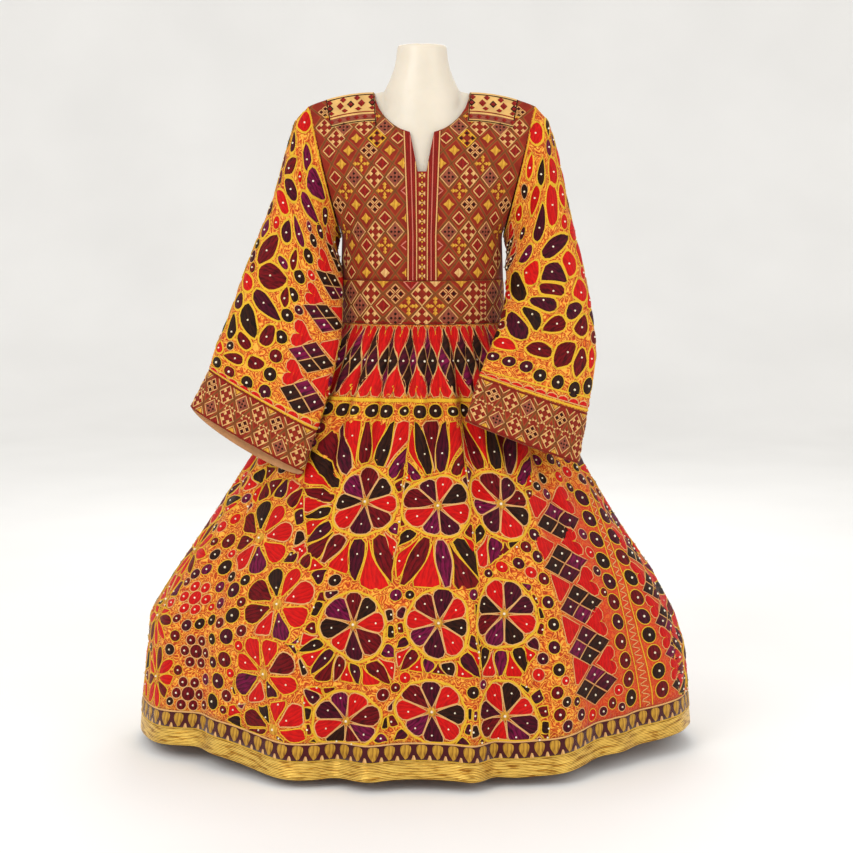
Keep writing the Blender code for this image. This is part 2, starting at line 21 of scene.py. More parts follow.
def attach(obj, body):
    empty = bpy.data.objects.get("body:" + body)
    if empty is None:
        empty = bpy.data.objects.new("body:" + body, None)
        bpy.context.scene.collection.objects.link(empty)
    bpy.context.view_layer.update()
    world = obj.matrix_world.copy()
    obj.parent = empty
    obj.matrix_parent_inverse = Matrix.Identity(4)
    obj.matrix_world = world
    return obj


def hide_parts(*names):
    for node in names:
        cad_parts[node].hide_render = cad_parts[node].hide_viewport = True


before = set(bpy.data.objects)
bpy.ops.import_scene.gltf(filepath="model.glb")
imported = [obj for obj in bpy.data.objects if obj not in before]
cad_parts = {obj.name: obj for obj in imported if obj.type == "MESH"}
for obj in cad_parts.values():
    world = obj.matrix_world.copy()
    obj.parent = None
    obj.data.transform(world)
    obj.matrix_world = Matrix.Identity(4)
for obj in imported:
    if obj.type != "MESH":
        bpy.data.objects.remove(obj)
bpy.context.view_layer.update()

logging.basicConfig(level=logging.INFO, format="%(message)s")
log = logging.getLogger("dress")

BODY_NAME = "root"
MM = 0.001

# Walls of the CAD solids, and the gap between sewn pieces
WALL = 0.0014
TRIM = 0.0009
SEAM = 0.0003
ON_TRIM = WALL + SEAM + TRIM

Shape = bmesh.types.BMesh
Piece = bpy.types.Object
Tree = bpy.types.ShaderNodeTree
Node = bpy.types.ShaderNode
Socket = bpy.types.NodeSocket


# Small helpers


def smooth(share: np.ndarray | float) -> np.ndarray:
    """A share from 0 to 1, eased at both ends."""
    share = np.clip(share, 0.0, 1.0)
    return share * share * (3 - 2 * share)


def unit(vectors: np.ndarray) -> np.ndarray:
    """The vectors scaled to length one."""
    return vectors / np.maximum(np.linalg.norm(vectors, axis=-1, keepdims=True), 1e-9)


def stack(x: np.ndarray, y: np.ndarray, z: np.ndarray) -> np.ndarray:
    """Three arrays of coordinates as one array of points."""
    return np.stack(np.broadcast_arrays(x, y, z), axis=-1)


def wrapped(degrees: np.ndarray | float) -> np.ndarray | float:
    """Degrees brought into the turn from -180 to 180."""
    return (degrees + 180) % 360 - 180


def read_table(table: Sequence[Sequence[float]], heights: np.ndarray, soft: float = 0.0) -> list[np.ndarray]:
    """The columns of a table at some heights.

    Args:
        table: Rows that start with a height, listed from the top down.
        heights: Where to read them.
        soft: How far, in metres, the corners between rows are rounded.

    Returns:
        One array for each column after the height.
    """
    rows = np.array(table)[::-1]
    columns = []
    for values in rows.T[1:]:
        read = np.interp(heights, rows[:, 0], values)
        if soft:
            around = [np.interp(heights + step * soft, rows[:, 0], values) for step in (-1, -0.5, 0.5, 1)]
            rounded = (2 * read + sum(around)) / 6
            near_end = np.minimum(rows[-1, 0] - heights, heights - rows[0, 0])
            read = read + (rounded - read) * smooth((near_end - soft) / soft)
        columns.append(read)
    return columns


# The shapes that the CAD source gives, in the same numbers

WAIST_SEAM = 0.8185
BAND_TOP = 0.900
UNDERARM = 0.983
SHOULDER_TIP = 1.2228
BORDER_TOP = 0.064
RIBBON_TOP = 0.033
LEVEL_HEM = 0.025
HALF_TURN = 180.0


@dataclass(frozen=True)
class BodyShape:
    """Bodice and waistband: widths and depths of the body, neckline and armholes."""

    waist_x: float = 0.155
    band_top_x: float = 0.153
    underarm_x: float = 0.150
    shoulder_tip_x: float = 0.211
    shoulder_peak: float = 1.265
    shoulder_slope: float = 0.2
    neck_point_x: float = 0.090
    slit_foot: float = 0.0447
    slit_head: float = 0.1117
    placket_edge: float = 0.175
    neck_point: float = 0.414
    shoulder_band_end: float = 0.841
    slit_foot_height: float = 1.098
    neck_point_height: float = 1.247
    scoop_depth: float = 0.080
    back_neck_depth: float = 0.020
    armhole_stand: float = 0.062
    armhole_room: float = 0.0009
    underarm_room: float = 0.0045
    rounding: tuple[tuple[float, float], ...] = ((0.130, 0.75), (0.100, 0.60))
    # height, front, back
    depths: tuple[tuple[float, float, float], ...] = (
        (1.265, 0.072, 0.085), (1.170, 0.090, 0.105), (1.100, 0.112, 0.115), (1.020, 0.125, 0.110),
        (0.950, 0.122, 0.105), (0.900, 0.118, 0.100), (0.8185, 0.112, 0.098),
    )

    def seam_x(self, height: np.ndarray) -> np.ndarray:
        """Half the width between the side seams, or between the armhole seams."""
        stops = (WAIST_SEAM, BAND_TOP, UNDERARM, SHOULDER_TIP)
        widths = [self.waist_x, self.band_top_x, self.underarm_x, self.shoulder_tip_x]
        beyond = self.shoulder_tip_x + (height - SHOULDER_TIP) * (self.shoulder_tip_x - self.underarm_x) / (
            SHOULDER_TIP - UNDERARM
        )
        return np.where(height > SHOULDER_TIP, beyond, np.interp(height, stops, widths))

    def shoulder_height(self, x: np.ndarray) -> np.ndarray:
        """Height of the shoulder line over a point that lies x from the centre."""
        share = (np.abs(x) - self.neck_point_x) / (self.shoulder_tip_x - self.neck_point_x)
        rounded = self.neck_point_height - (self.neck_point_height - SHOULDER_TIP) * share * share
        return np.where(share < 0, self.shoulder_peak - self.shoulder_slope * np.abs(x), rounded)

    def armhole_depth(self, height: np.ndarray) -> np.ndarray:
        """How far the armhole edge stands off the middle plane."""
        offset = (height - (UNDERARM + SHOULDER_TIP) / 2) / ((SHOULDER_TIP - UNDERARM) / 2)
        return self.armhole_stand * np.sqrt(np.maximum(0.0, 1 - offset * offset))

    def point(self, share: np.ndarray, height: np.ndarray, facing: int) -> np.ndarray:
        """Points on the inner face of the body cloth.

        Args:
            share: -1 to 1 between the seams.
            height: Height of each point.
            facing: -1 for the front and 1 for the back.

        Returns:
            The points, in metres.
        """
        x = share * self.seam_x(height)
        full = read_table(self.depths, height)[0 if facing < 0 else 1]
        edge = np.where(height > UNDERARM, self.armhole_depth(height), 0.0)
        power = 0.5 + 0.5 * edge / self.armhole_stand
        depth = edge + (full - edge) * np.maximum(0.0, 1 - share * share) ** power
        reach, turn = self.rounding[0 if facing < 0 else 1]
        below = np.clip((self.shoulder_height(x) - height) / reach, 0, 1)
        depth = depth * np.sin(below * math.pi / 2) ** turn
        return stack(x, facing * (depth + SEAM / 2), height)

    def shoulder_seam(self, share: np.ndarray) -> np.ndarray:
        """Height at which the line of this share of the half width meets the shoulder seam."""
        height = np.full_like(share, SHOULDER_TIP)
        for _ in range(12):
            height = self.shoulder_height(share * self.seam_x(height))
        return height

    def front_top(self, share: np.ndarray) -> np.ndarray:
        """Top edge of the bodice front: slit, scoop and shoulder seam."""
        share = np.abs(share)
        inside = np.clip(np.maximum(share, self.slit_head) / self.neck_point, 0, 1)
        scoop = self.neck_point_height - self.scoop_depth * np.sqrt(1 - inside**2)
        rise = np.clip((share - self.slit_foot) / (self.slit_head - self.slit_foot), 0, 1)
        neck = self.slit_foot_height + (scoop - self.slit_foot_height) * rise
        return np.where(share >= self.neck_point, self.shoulder_seam(share), neck)

    def back_top(self, share: np.ndarray) -> np.ndarray:
        """Top edge of the bodice back: shallow neck and shoulder seam."""
        share = np.abs(share)
        inside = np.clip(share / self.neck_point, 0, 1)
        neck = self.neck_point_height - self.back_neck_depth * np.sqrt(1 - inside**2)
        return np.where(share >= self.neck_point, self.shoulder_seam(share), neck)

    def armhole_ring(self, turn: np.ndarray, hand: int) -> np.ndarray:
        """The sleeve's top ring, just outside the armhole edge of the bodice."""
        rise, ahead = np.cos(turn), np.sin(turn)
        height = (UNDERARM + SHOULDER_TIP) / 2 + (SHOULDER_TIP - UNDERARM) / 2 * rise
        one = np.ones_like(turn)
        ring = np.where((ahead > 0)[..., None], self.point(one, height, -1), self.point(one, height, 1))
        room = self.armhole_room + self.underarm_room * smooth((1 - rise) / 2)
        lean = math.atan2(self.shoulder_tip_x - self.underarm_x, SHOULDER_TIP - UNDERARM)
        ring = ring + stack(math.cos(lean) * room, 0 * room, -math.sin(lean) * room)
        return ring * np.array((hand, 1, 1))


@dataclass(frozen=True)
class SkirtShape:
    """The gathered skirt: sections, long folds and hem."""

    front_edge: float = 38
    side_edge: float = 142
    wide_gather: float = 13.8
    fine_gather: float = 6.9
    gather_reach: float = 46
    # height, left, right, front, back, squareness, gather, sway
    sections: tuple[tuple[float, ...], ...] = (
        (0.8182, 0.155, 0.155, 0.112, 0.098, 2.00, 0.0000, 0.00),
        (0.8110, 0.156, 0.156, 0.113, 0.099, 2.00, 0.0014, 0.00),
        (0.7750, 0.183, 0.178, 0.134, 0.122, 2.00, 0.0075, 0.00),
        (0.7200, 0.219, 0.210, 0.160, 0.150, 2.00, 0.0100, 0.00),
        (0.6500, 0.265, 0.250, 0.187, 0.178, 1.95, 0.0085, 0.08),
        (0.5500, 0.331, 0.305, 0.226, 0.212, 1.90, 0.0055, 0.28),
        (0.4400, 0.405, 0.374, 0.265, 0.250, 1.85, 0.0022, 0.52),
        (0.3400, 0.474, 0.444, 0.293, 0.283, 1.80, 0.0000, 0.72),
        (0.2550, 0.528, 0.490, 0.311, 0.303, 1.75, 0.0000, 0.85),
        (0.1900, 0.534, 0.512, 0.318, 0.312, 1.72, 0.0000, 0.90),
        (0.0500, 0.551, 0.526, 0.328, 0.324, 1.70, 0.0000, 1.00),
        (0.0000, 0.555, 0.530, 0.331, 0.327, 1.70, 0.0000, 1.00),
    )
    # degrees from the front, spread, outward
    folds: tuple[tuple[float, float, float], ...] = (
        (-166, 8, -0.016), (-149, 8, 0.020), (-128, 8, -0.015), (-106, 8, 0.020), (-86, 7, -0.002), (-69, 7, 0.006),
        (-56, 6, -0.020), (-43, 5, -0.004), (-27, 7, 0.022), (-17, 3, -0.011), (-10, 3, 0.012), (-1, 5, -0.009),
        (10, 3, 0.015), (15, 3, -0.012), (30, 6, 0.016), (42, 5, -0.012), (56, 7, -0.017), (73, 6, 0.006),
        (90, 6, -0.002), (109, 8, 0.019), (129, 8, -0.016), (150, 8, 0.020), (172, 7, 0.016),
    )
    # Sharp creases that only show up close: degrees, spread, depth, top and foot of the crease
    creases: tuple[tuple[float, float, float, float, float], ...] = (
        (-23, 1.5, 0.0045, 0.80, 0.60), (-13, 1.3, 0.0050, 0.80, 0.50), (-7, 1.3, 0.0050, 0.80, 0.60),
        (1.5, 1.2, 0.0060, 0.80, 0.48), (8, 1.3, 0.0050, 0.80, 0.56), (17, 1.4, 0.0050, 0.80, 0.44),
        (26, 1.3, 0.0045, 0.80, 0.58), (19, 1.3, 0.0050, 0.58, 0.08), (48, 1.6, 0.0060, 0.66, 0.02),
        (-31, 1.6, 0.0045, 0.66, 0.30), (-64, 2.0, 0.0045, 0.50, 0.06), (82, 2.0, 0.0045, 0.50, 0.06),
    )
    # degrees from the front, height over the floor
    hem: tuple[tuple[float, float], ...] = (
        (-180, 0.024), (-120, 0.027), (-80, 0.024), (-52, 0.032), (-25, 0.017), (0, 0.024), (20, 0.020), (48, 0.034),
        (75, 0.042), (95, 0.034), (130, 0.024), (180, 0.024),
    )

    def gather_wave(self, degrees: np.ndarray) -> np.ndarray:
        """Gathers round the waist, from -1 to 1."""
        drift = 1.6 * np.sin(np.radians(3 * degrees))
        wide = np.cos(2 * np.pi * (degrees + drift) / self.wide_gather)
        fine = np.cos(2 * np.pi * (degrees - drift) / self.fine_gather)
        near = smooth((self.gather_reach - np.abs(degrees)) / 10)
        to_seam = np.minimum(np.abs(np.abs(degrees) - self.front_edge), np.abs(np.abs(degrees) - self.side_edge))
        return (0.65 * wide + 0.35 * fine * near) * smooth(to_seam / 6)

    def hem_height(self, degrees: np.ndarray) -> np.ndarray:
        """Height of the hem over the floor."""
        stops = np.array(self.hem)
        place = np.interp(degrees, stops[:, 0], np.arange(len(stops)))
        low = np.minimum(place.astype(int), len(stops) - 2)
        return stops[low, 1] + (stops[low + 1, 1] - stops[low, 1]) * smooth(place - low)

    def point(self, degrees: np.ndarray, height: np.ndarray) -> np.ndarray:
        """Points on the inner face of the skirt."""
        degrees = wrapped(degrees)
        values = read_table(self.sections, height, soft=0.012)
        left, right, front, back, squareness, gather, sway = values
        side, ahead = np.sin(np.radians(degrees)), np.cos(np.radians(degrees))
        across = np.where(side > 0, right, left)
        deep = np.where(ahead > 0, front, back)
        reach = (np.abs(side) ** squareness + np.abs(ahead) ** squareness) ** (-1 / squareness)
        outward = unit(stack(side * deep, -ahead * across, 0 * deep))
        push = gather * self.gather_wave(degrees)
        for at, spread, out in self.folds:
            push = push + sway * out * np.exp(-((wrapped(degrees - at) / spread) ** 2))
        for at, spread, depth, top, foot in self.creases:
            fade = smooth((top - height) / 0.05) * smooth((height - foot) / 0.12)
            push = push - depth * fade * np.exp(-((wrapped(degrees - at) / spread / 1.4) ** 2))
        return stack(across * reach * side, -deep * reach * ahead, height) + outward * push[..., None]


@dataclass(frozen=True)
class SleeveShape:
    """A bell sleeve and its cuff."""

    hand: int
    # outer x, outer height, outer y, inner x, inner height, inner y, half depth
    sections: tuple[tuple[float, ...], ...]
    cuff: tuple[float, ...]
    drop: float

    def ring(self, turn: np.ndarray, section: np.ndarray) -> np.ndarray:
        """Points round sleeve sections: turn 0 is the outer edge and a quarter turn the front."""
        outer_x, outer_z, outer_y, inner_x, inner_z, inner_y, half_depth = np.moveaxis(section, -1, 0)
        outer = stack(self.hand * outer_x, outer_y, outer_z)
        inner = stack(self.hand * inner_x, inner_y, inner_z)
        reach = (outer - inner) / 2
        ahead = np.array((0.0, -1.0, 0.0))
        along = np.sum(reach * ahead, -1, keepdims=True) / np.sum(reach * reach, -1, keepdims=True)
        forward = unit(ahead - reach * along)
        swing = (half_depth * np.sin(turn))[..., None]
        return (outer + inner) / 2 + reach * np.cos(turn)[..., None] + forward * swing

    def point(self, turn: np.ndarray, fall: np.ndarray, body: BodyShape) -> np.ndarray:
        """Points on the sleeve.

        Args:
            turn: Radians round the sleeve.
            fall: 0 at the armhole, 1 at the first section, and so on down to the cuff's seam.
            body: The shape whose armhole the sleeve is sewn to.

        Returns:
            The points, in metres.
        """
        table = np.array(self.sections)
        place = np.clip(fall - 1, 0, len(table) - 1)
        low = np.minimum(place.astype(int), len(table) - 2)
        share = (place - low)[..., None]
        before, after = np.maximum(low - 1, 0), np.minimum(low + 2, len(table) - 1)
        # Catmull-Rom between the sections, so that the sleeve has no corners at them
        start, end = table[low], table[low + 1]
        ease_out, ease_in = (end - table[before]) / 2, (table[after] - start) / 2
        section = start + share * ease_out
        section = section + share**2 * (3 * (end - start) - 2 * ease_out - ease_in)
        section = section + share**3 * (2 * (start - end) + ease_out + ease_in)
        lower = self.ring(turn, section)
        upper = body.armhole_ring(turn, self.hand)
        top = np.clip(fall, 0, 1)[..., None]
        return np.where(fall[..., None] < 1, upper + (lower - upper) * top, lower)

    def cuff_point(self, turn: np.ndarray, fall: np.ndarray) -> np.ndarray:
        """Points on the cuff: fall is 0 at the sleeve and 1 at the lower edge."""
        one = np.ones_like(turn)[..., None]
        start = self.ring(turn, np.array(self.sections[-1]) * one)
        end = self.ring(turn, np.array(self.cuff) * one)
        end = end + unit(end - start) * (self.drop * np.maximum(0.0, -np.sin(turn)))[..., None]
        gap = 2 * SEAM / np.linalg.norm(end - start, axis=-1)
        return start + (end - start) * (gap + fall * (1 - gap))[..., None]


LEFT_SLEEVE = SleeveShape(
    hand=-1,
    sections=(
        (0.237, 1.194, -0.005, 0.162, 0.958, -0.008, 0.064), (0.254, 1.138, -0.012, 0.163, 0.930, -0.022, 0.062),
        (0.274, 1.063, -0.022, 0.163, 0.893, -0.045, 0.058), (0.300, 0.992, -0.035, 0.163, 0.853, -0.068, 0.054),
        (0.330, 0.914, -0.050, 0.163, 0.804, -0.094, 0.048), (0.361, 0.825, -0.070, 0.166, 0.744, -0.128, 0.042),
        (0.384, 0.770, -0.085, 0.176, 0.687, -0.153, 0.038), (0.393, 0.735, -0.092, 0.194, 0.630, -0.166, 0.036),
    ),
    cuff=(0.428, 0.666, -0.105, 0.217, 0.557, -0.185, 0.034),
    drop=0.026,
)
RIGHT_SLEEVE = SleeveShape(
    hand=1,
    sections=(
        (0.237, 1.194, -0.005, 0.162, 0.958, -0.008, 0.064), (0.252, 1.138, -0.012, 0.165, 0.936, -0.022, 0.062),
        (0.269, 1.057, -0.022, 0.166, 0.910, -0.045, 0.058), (0.283, 0.988, -0.035, 0.166, 0.885, -0.070, 0.052),
        (0.300, 0.914, -0.052, 0.162, 0.858, -0.104, 0.045), (0.313, 0.840, -0.075, 0.147, 0.821, -0.138, 0.036),
        (0.320, 0.762, -0.105, 0.124, 0.776, -0.172, 0.031), (0.302, 0.660, -0.140, 0.105, 0.731, -0.200, 0.029),
    ),
    cuff=(0.285, 0.569, -0.165, 0.078, 0.656, -0.245, 0.026),
    drop=0.006,
)
BODY = BodyShape()
SKIRT = SkirtShape()


# Cloth as a map from flat metres to the draped surface


class ClothMap:
    """Where each point of a flat cloth lies once it is worn.

    A cloth is read by u across it and v along it. u counts equal lengths of cloth, so a pattern takes up
    the gathers as real cloth does.
    """

    def __init__(self, points: np.ndarray, v: np.ndarray, stations: np.ndarray, tube: bool = False):
        """Resamples a grid of points by length along each of its rows.

        Args:
            points: Rows from the lowest v up, each with points from the lowest u up.
            v: The value of v for each row.
            stations: What names each column, rising. u is 0 at the middle one.
            tube: Whether the cloth goes all round, so that u counts degrees of it. If not, u is in metres.
        """
        steps = np.linalg.norm(np.diff(points, axis=1), axis=-1)
        lengths = np.concatenate([np.zeros((len(points), 1)), np.cumsum(steps, axis=1)], axis=1)
        lengths -= lengths[:, [len(stations) // 2]]
        self.v, self.stations, self.tube = v, stations, tube
        self.reach_high = lengths[:, -1]
        if tube:
            ends = np.where(lengths > 0, lengths[:, -1:], -lengths[:, :1])
            self.placed = lengths / ends * HALF_TURN
            self.u = np.linspace(-HALF_TURN, HALF_TURN, points.shape[1] * 2)
            self.span = (lengths[:, -1] - lengths[:, 0]) / (2 * HALF_TURN)
        else:
            self.placed = lengths
            self.u = np.linspace(lengths.min(), lengths.max(), points.shape[1] * 2)
            self.span = np.ones(len(v))
        self.points = np.empty((len(v), len(self.u), 3))
        for row, length in enumerate(lengths):
            wanted = self.u
            if tube:
                wanted = np.where(self.u > 0, self.u * length[-1], -self.u * length[0]) / HALF_TURN
            for axis in range(3):
                self.points[row, :, axis] = np.interp(wanted, length, points[row, :, axis])
        climb = np.linalg.norm(np.gradient(self.points, self.v, axis=0), axis=-1)
        self.rise = np.maximum(np.median(climb, axis=1), 1e-6)
        self.climb = np.append(0, np.cumsum(np.diff(v) * (self.rise[1:] + self.rise[:-1]) / 2))
        self.normals = unit(np.cross(np.gradient(self.points, axis=1), np.gradient(self.points, axis=0)))

    def at(self, u: np.ndarray, v: np.ndarray, lift: np.ndarray | float = 0.0) -> np.ndarray:
        """Points of the worn cloth, lifted off it along its normal."""
        if self.tube:
            width = self.u[-1] - self.u[0]
            u = (u - self.u[0]) % width + self.u[0]
        normals = unit(self.read(self.normals, self.u, u, v))
        return self.read(self.points, self.u, u, v) + normals * np.asarray(lift)[..., None]

    def locate(self, station: np.ndarray, v: np.ndarray) -> np.ndarray:
        """The u of points that are named by their column on the first grid, such as degrees or a share."""
        return self.read(self.placed[..., None], self.stations, np.asarray(station), v)[..., 0]

    def read(self, grid: np.ndarray, stops: np.ndarray, u: np.ndarray, v: np.ndarray) -> np.ndarray:
        """Values of a grid between its rows, which v names, and its columns, which the stops name."""
        column, row = np.interp(u, stops, np.arange(len(stops))), np.interp(v, self.v, np.arange(len(self.v)))
        left, low = np.clip(column.astype(int), 0, len(stops) - 2), np.clip(row.astype(int), 0, len(self.v) - 2)
        across, along = (column - left)[..., None], (row - low)[..., None]
        lower = grid[low, left] * (1 - across) + grid[low, left + 1] * across
        upper = grid[low + 1, left] * (1 - across) + grid[low + 1, left + 1] * across
        return lower * (1 - along) + upper * along

    def around(self, origin: tuple[float, float], offsets: np.ndarray) -> tuple[np.ndarray, np.ndarray]:
        """The u and v of points given in metres from an origin, as complex numbers across and along."""
        v = origin[1] + offsets.imag / np.interp(origin[1], self.v, self.rise)
        return origin[0] + offsets.real / np.interp(origin[1], self.v, self.span), v

    def offset(self, origin: tuple[float, float], other: tuple[float, float]) -> complex:
        """How far another place lies from an origin, in metres across and along."""
        middle = (origin[1] + other[1]) / 2
        across = other[0] - origin[0]
        if self.tube:
            width = self.u[-1] - self.u[0]
            across = (across + width / 2) % width - width / 2
        return complex(
            across * np.interp(middle, self.v, self.span),
            (other[1] - origin[1]) * np.interp(middle, self.v, self.rise),
        )


# Finishes


def linear(code: str) -> tuple[float, float, float, float]:
    """An sRGB hex value as linear red, green and blue with full alpha."""
    parts = [int(code[at : at + 2], 16) / 255 for at in (1, 3, 5)]
    red, green, blue = (c / 12.92 if c <= 0.04045 else ((c + 0.055) / 1.055) ** 2.4 for c in parts)
    return red, green, blue, 1.0


def node(tree: Tree, kind: str, inputs: dict | None = None, **settings: object) -> Node:
    """Adds a node.

    Args:
        tree: The material's node tree.
        kind: The node's type without its ShaderNode prefix.
        inputs: A plain value or another node's output for each named or numbered input.
        settings: The node's own settings.

    Returns:
        The node.
    """
    made = tree.nodes.new("ShaderNode" + kind)
    for name, value in settings.items():
        setattr(made, name, value)
    for name, value in (inputs or {}).items():
        if isinstance(value, Socket):
            tree.links.new(value, made.inputs[name])
        else:
            made.inputs[name].default_value = value
    return made


def ramp(tree: Tree, factor: Socket, stops: Sequence[tuple[float, str]]) -> Socket:
    """A colour ramp over hex colours, read at a factor."""
    made = node(tree, "ValToRGB", {"Fac": factor})
    elements = made.color_ramp.elements
    while len(elements) < len(stops):
        elements.new(0.5)
    for element, (position, code) in zip(elements, stops):
        element.position = position
        element.color = linear(code)
    return made.outputs["Color"]


@dataclass(frozen=True)
class Finish:
    """A material: its name, its own colour and how it takes light. Subclasses add the surface."""

    name: str
    colour: str
    roughness: float = 0.6
    metallic: float = 0.0
    sheen: float = 0.0
    shine: float = 0.2  # cotton and floss scatter light, so little of it mirrors

    def make(self) -> bpy.types.Material:
        """The material, made once and then shared."""
        found = bpy.data.materials.get(self.name)
        if found is not None:
            return found
        made = bpy.data.materials.new(self.name)
        made.use_nodes = True
        tree = made.node_tree
        shader = tree.nodes["Principled BSDF"]
        shader.inputs["Base Color"].default_value = linear(self.colour)
        shader.inputs["Roughness"].default_value = self.roughness
        shader.inputs["Metallic"].default_value = self.metallic
        shader.inputs["Sheen Weight"].default_value = self.sheen
        shader.inputs["Sheen Roughness"].default_value = 0.4
        shader.inputs["Specular IOR Level"].default_value = self.shine
        self.surface(tree, shader)
        made.diffuse_color = linear(self.colour)
        return made

    def surface(self, tree: Tree, shader: Node) -> None:
        """Adds colour variation and relief."""


def bump(tree: Tree, shader: Node, height: Socket, depth: float, strength: float) -> None:
    """Links a height pattern to the shader as relief of a real depth in metres."""
    made = node(tree, "Bump", {"Height": height, "Distance": depth, "Strength": strength})
    tree.links.new(made.outputs["Normal"], shader.inputs["Normal"])


def colour_by_ramp(tree: Tree, shader: Node, factor: Socket, *stops: tuple[float, str]) -> None:
    """Colours a material by a ramp over hex colours: its own colour, or painted sheen and shade."""
    tree.links.new(ramp(tree, factor, stops), shader.inputs["Base Color"])


def gloss(tree: Tree, shader: Node, factor: Socket, low: float, high: float) -> None:
    """Lets the roughness run between two values with a factor."""
    rough = node(tree, "MapRange", {"Value": factor, "To Min": low, "To Max": high})
    tree.links.new(rough.outputs["Result"], shader.inputs["Roughness"])


def millimetres(tree: Tree, uv: str) -> Socket:
    """The UV map of that name, which holds metres, in millimetres."""
    place = node(tree, "UVMap", uv_map=uv)
    scale = node(tree, "VectorMath", {0: place.outputs["UV"], 1: (1000, 1000, 1000)}, operation="MULTIPLY")
    return scale.outputs["Vector"]


def own_place(tree: Tree) -> Socket:
    """Where a point lies on its piece, in metres."""
    return node(tree, "TexCoord").outputs["Object"]


def stretch(tree: Tree, place: Socket, across: float, along: float) -> Socket:
    """A place scaled by its own share in each direction."""
    return node(tree, "Mapping", {"Vector": place, "Scale": (across, along, 1.0)}).outputs["Vector"]


def noise(tree: Tree, place: Socket, scale: float, detail: float = 2.0, distortion: float = 0.0) -> Socket:
    """Soft patches, as many to a unit as the scale says."""
    inputs = {"Vector": place, "Scale": scale, "Detail": detail, "Distortion": distortion}
    return node(tree, "TexNoise", inputs).outputs["Fac"]


def bands(
    tree: Tree, place: Socket, width: float, axis: str, distortion: float, detail: float = 2.0, fine: float = 1.0
) -> Socket:
    """Ridges of one width that follow each other along an axis of the map."""
    inputs = {"Vector": place, "Scale": 0.5 / width, "Distortion": distortion, "Detail": detail, "Detail Scale": fine}
    return node(tree, "TexWave", inputs, wave_type="BANDS", bands_direction=axis).outputs["Fac"]


def reckon(tree: Tree, operation: str, *values: Socket | float) -> Socket:
    """A sum of that kind over the values."""
    return node(tree, "Math", dict(enumerate(values)), operation=operation).outputs["Value"]


def darker(code: str, share: float) -> str:
    """A hex colour with each part scaled."""
    parts = [round(int(code[at : at + 2], 16) * share) for at in (1, 3, 5)]
    return "#" + "".join(f"{min(255, part):02x}" for part in parts)


@dataclass(frozen=True)
class SatinThread(Finish):
    """Silk floss in satin stitch: close parallel threads that shine along their length."""

    thread: float = 1.7  # spacing in mm: real floss is 0.5 mm, drawn wider so that it shows
    # darker colour of the streaks: painted shade between the floss's sheen, and uneven tone
    dark: str = "#000000"

    def surface(self, tree: Tree, shader: Node) -> None:
        """Thread ridges across the UV map, and lighter and darker streaks along them: painted sheen and painted shade
        of the floss, with uneven tone.
        """
        place = millimetres(tree, "stitch")
        # streaks along the threads: painted sheen and painted shade of the satin, with uneven tone
        streak = noise(tree, stretch(tree, place, 0.045, 0.24), 1.0)
        colour_by_ramp(tree, shader, streak, (0.34, self.dark), (0.58, self.colour))
        ridges = bands(tree, place, self.thread, "Y", distortion=1.6, detail=1.0, fine=0.6)
        bump(tree, shader, ridges, depth=0.5 * MM, strength=0.9)


@dataclass(frozen=True)
class ChainThread(Finish):
    """Thick cotton couched in chain stitch along the outlines: one link every 3 mm."""

    link: float = 3.0

    def surface(self, tree: Tree, shader: Node) -> None:
        """Links along the UV map, with painted shade in the dip between one link and the next."""
        links = bands(tree, millimetres(tree, "stitch"), self.link, "X", distortion=2.0, detail=1.0)
        # painted shade: each link is coloured darker where it dips towards the next
        colour_by_ramp(tree, shader, links, (0.0, darker(self.colour, 0.72)), (0.6, self.colour))
        bump(tree, shader, links, depth=0.6 * MM, strength=0.8)


@dataclass(frozen=True)
class CurlGround(Finish):
    """Orange cotton covered in small curled stitches of yellow thread, with red-brown cloth between."""

    curl: float = 14.0  # mm from one curl to the next
    line: float = 0.085  # how far the noise changes from one stitched line to the next
    light: str = "#eaaa3c"
    deep: str = "#a63410"
    red: str = "#c8321a"

    def surface(self, tree: Tree, shader: Node) -> None:
        """Contour lines of a noise make stitches that wander and never cross. The zone map gives redder cloth."""
        curls = noise(tree, millimetres(tree, "cloth"), 1 / self.curl, detail=1.0, distortion=0.7)
        rows = reckon(tree, "PINGPONG", curls, self.line)
        line = node(tree, "MapRange", {"Value": rows, "From Max": self.line}).outputs["Result"]
        stops = ((0.0, self.deep), (0.18, self.deep), (0.32, self.colour), (0.62, self.colour), (0.8, self.light))
        zone = node(tree, "SeparateXYZ", {0: node(tree, "UVMap", uv_map="zone").outputs["UV"]})
        tint = ramp(tree, line, stops)
        mixed = node(tree, "MixRGB", {"Fac": zone.outputs["X"], "Color1": tint, "Color2": linear(self.red)})
        tree.links.new(mixed.outputs["Color"], shader.inputs["Base Color"])
        bump(tree, shader, line, depth=1.0 * MM, strength=0.8)


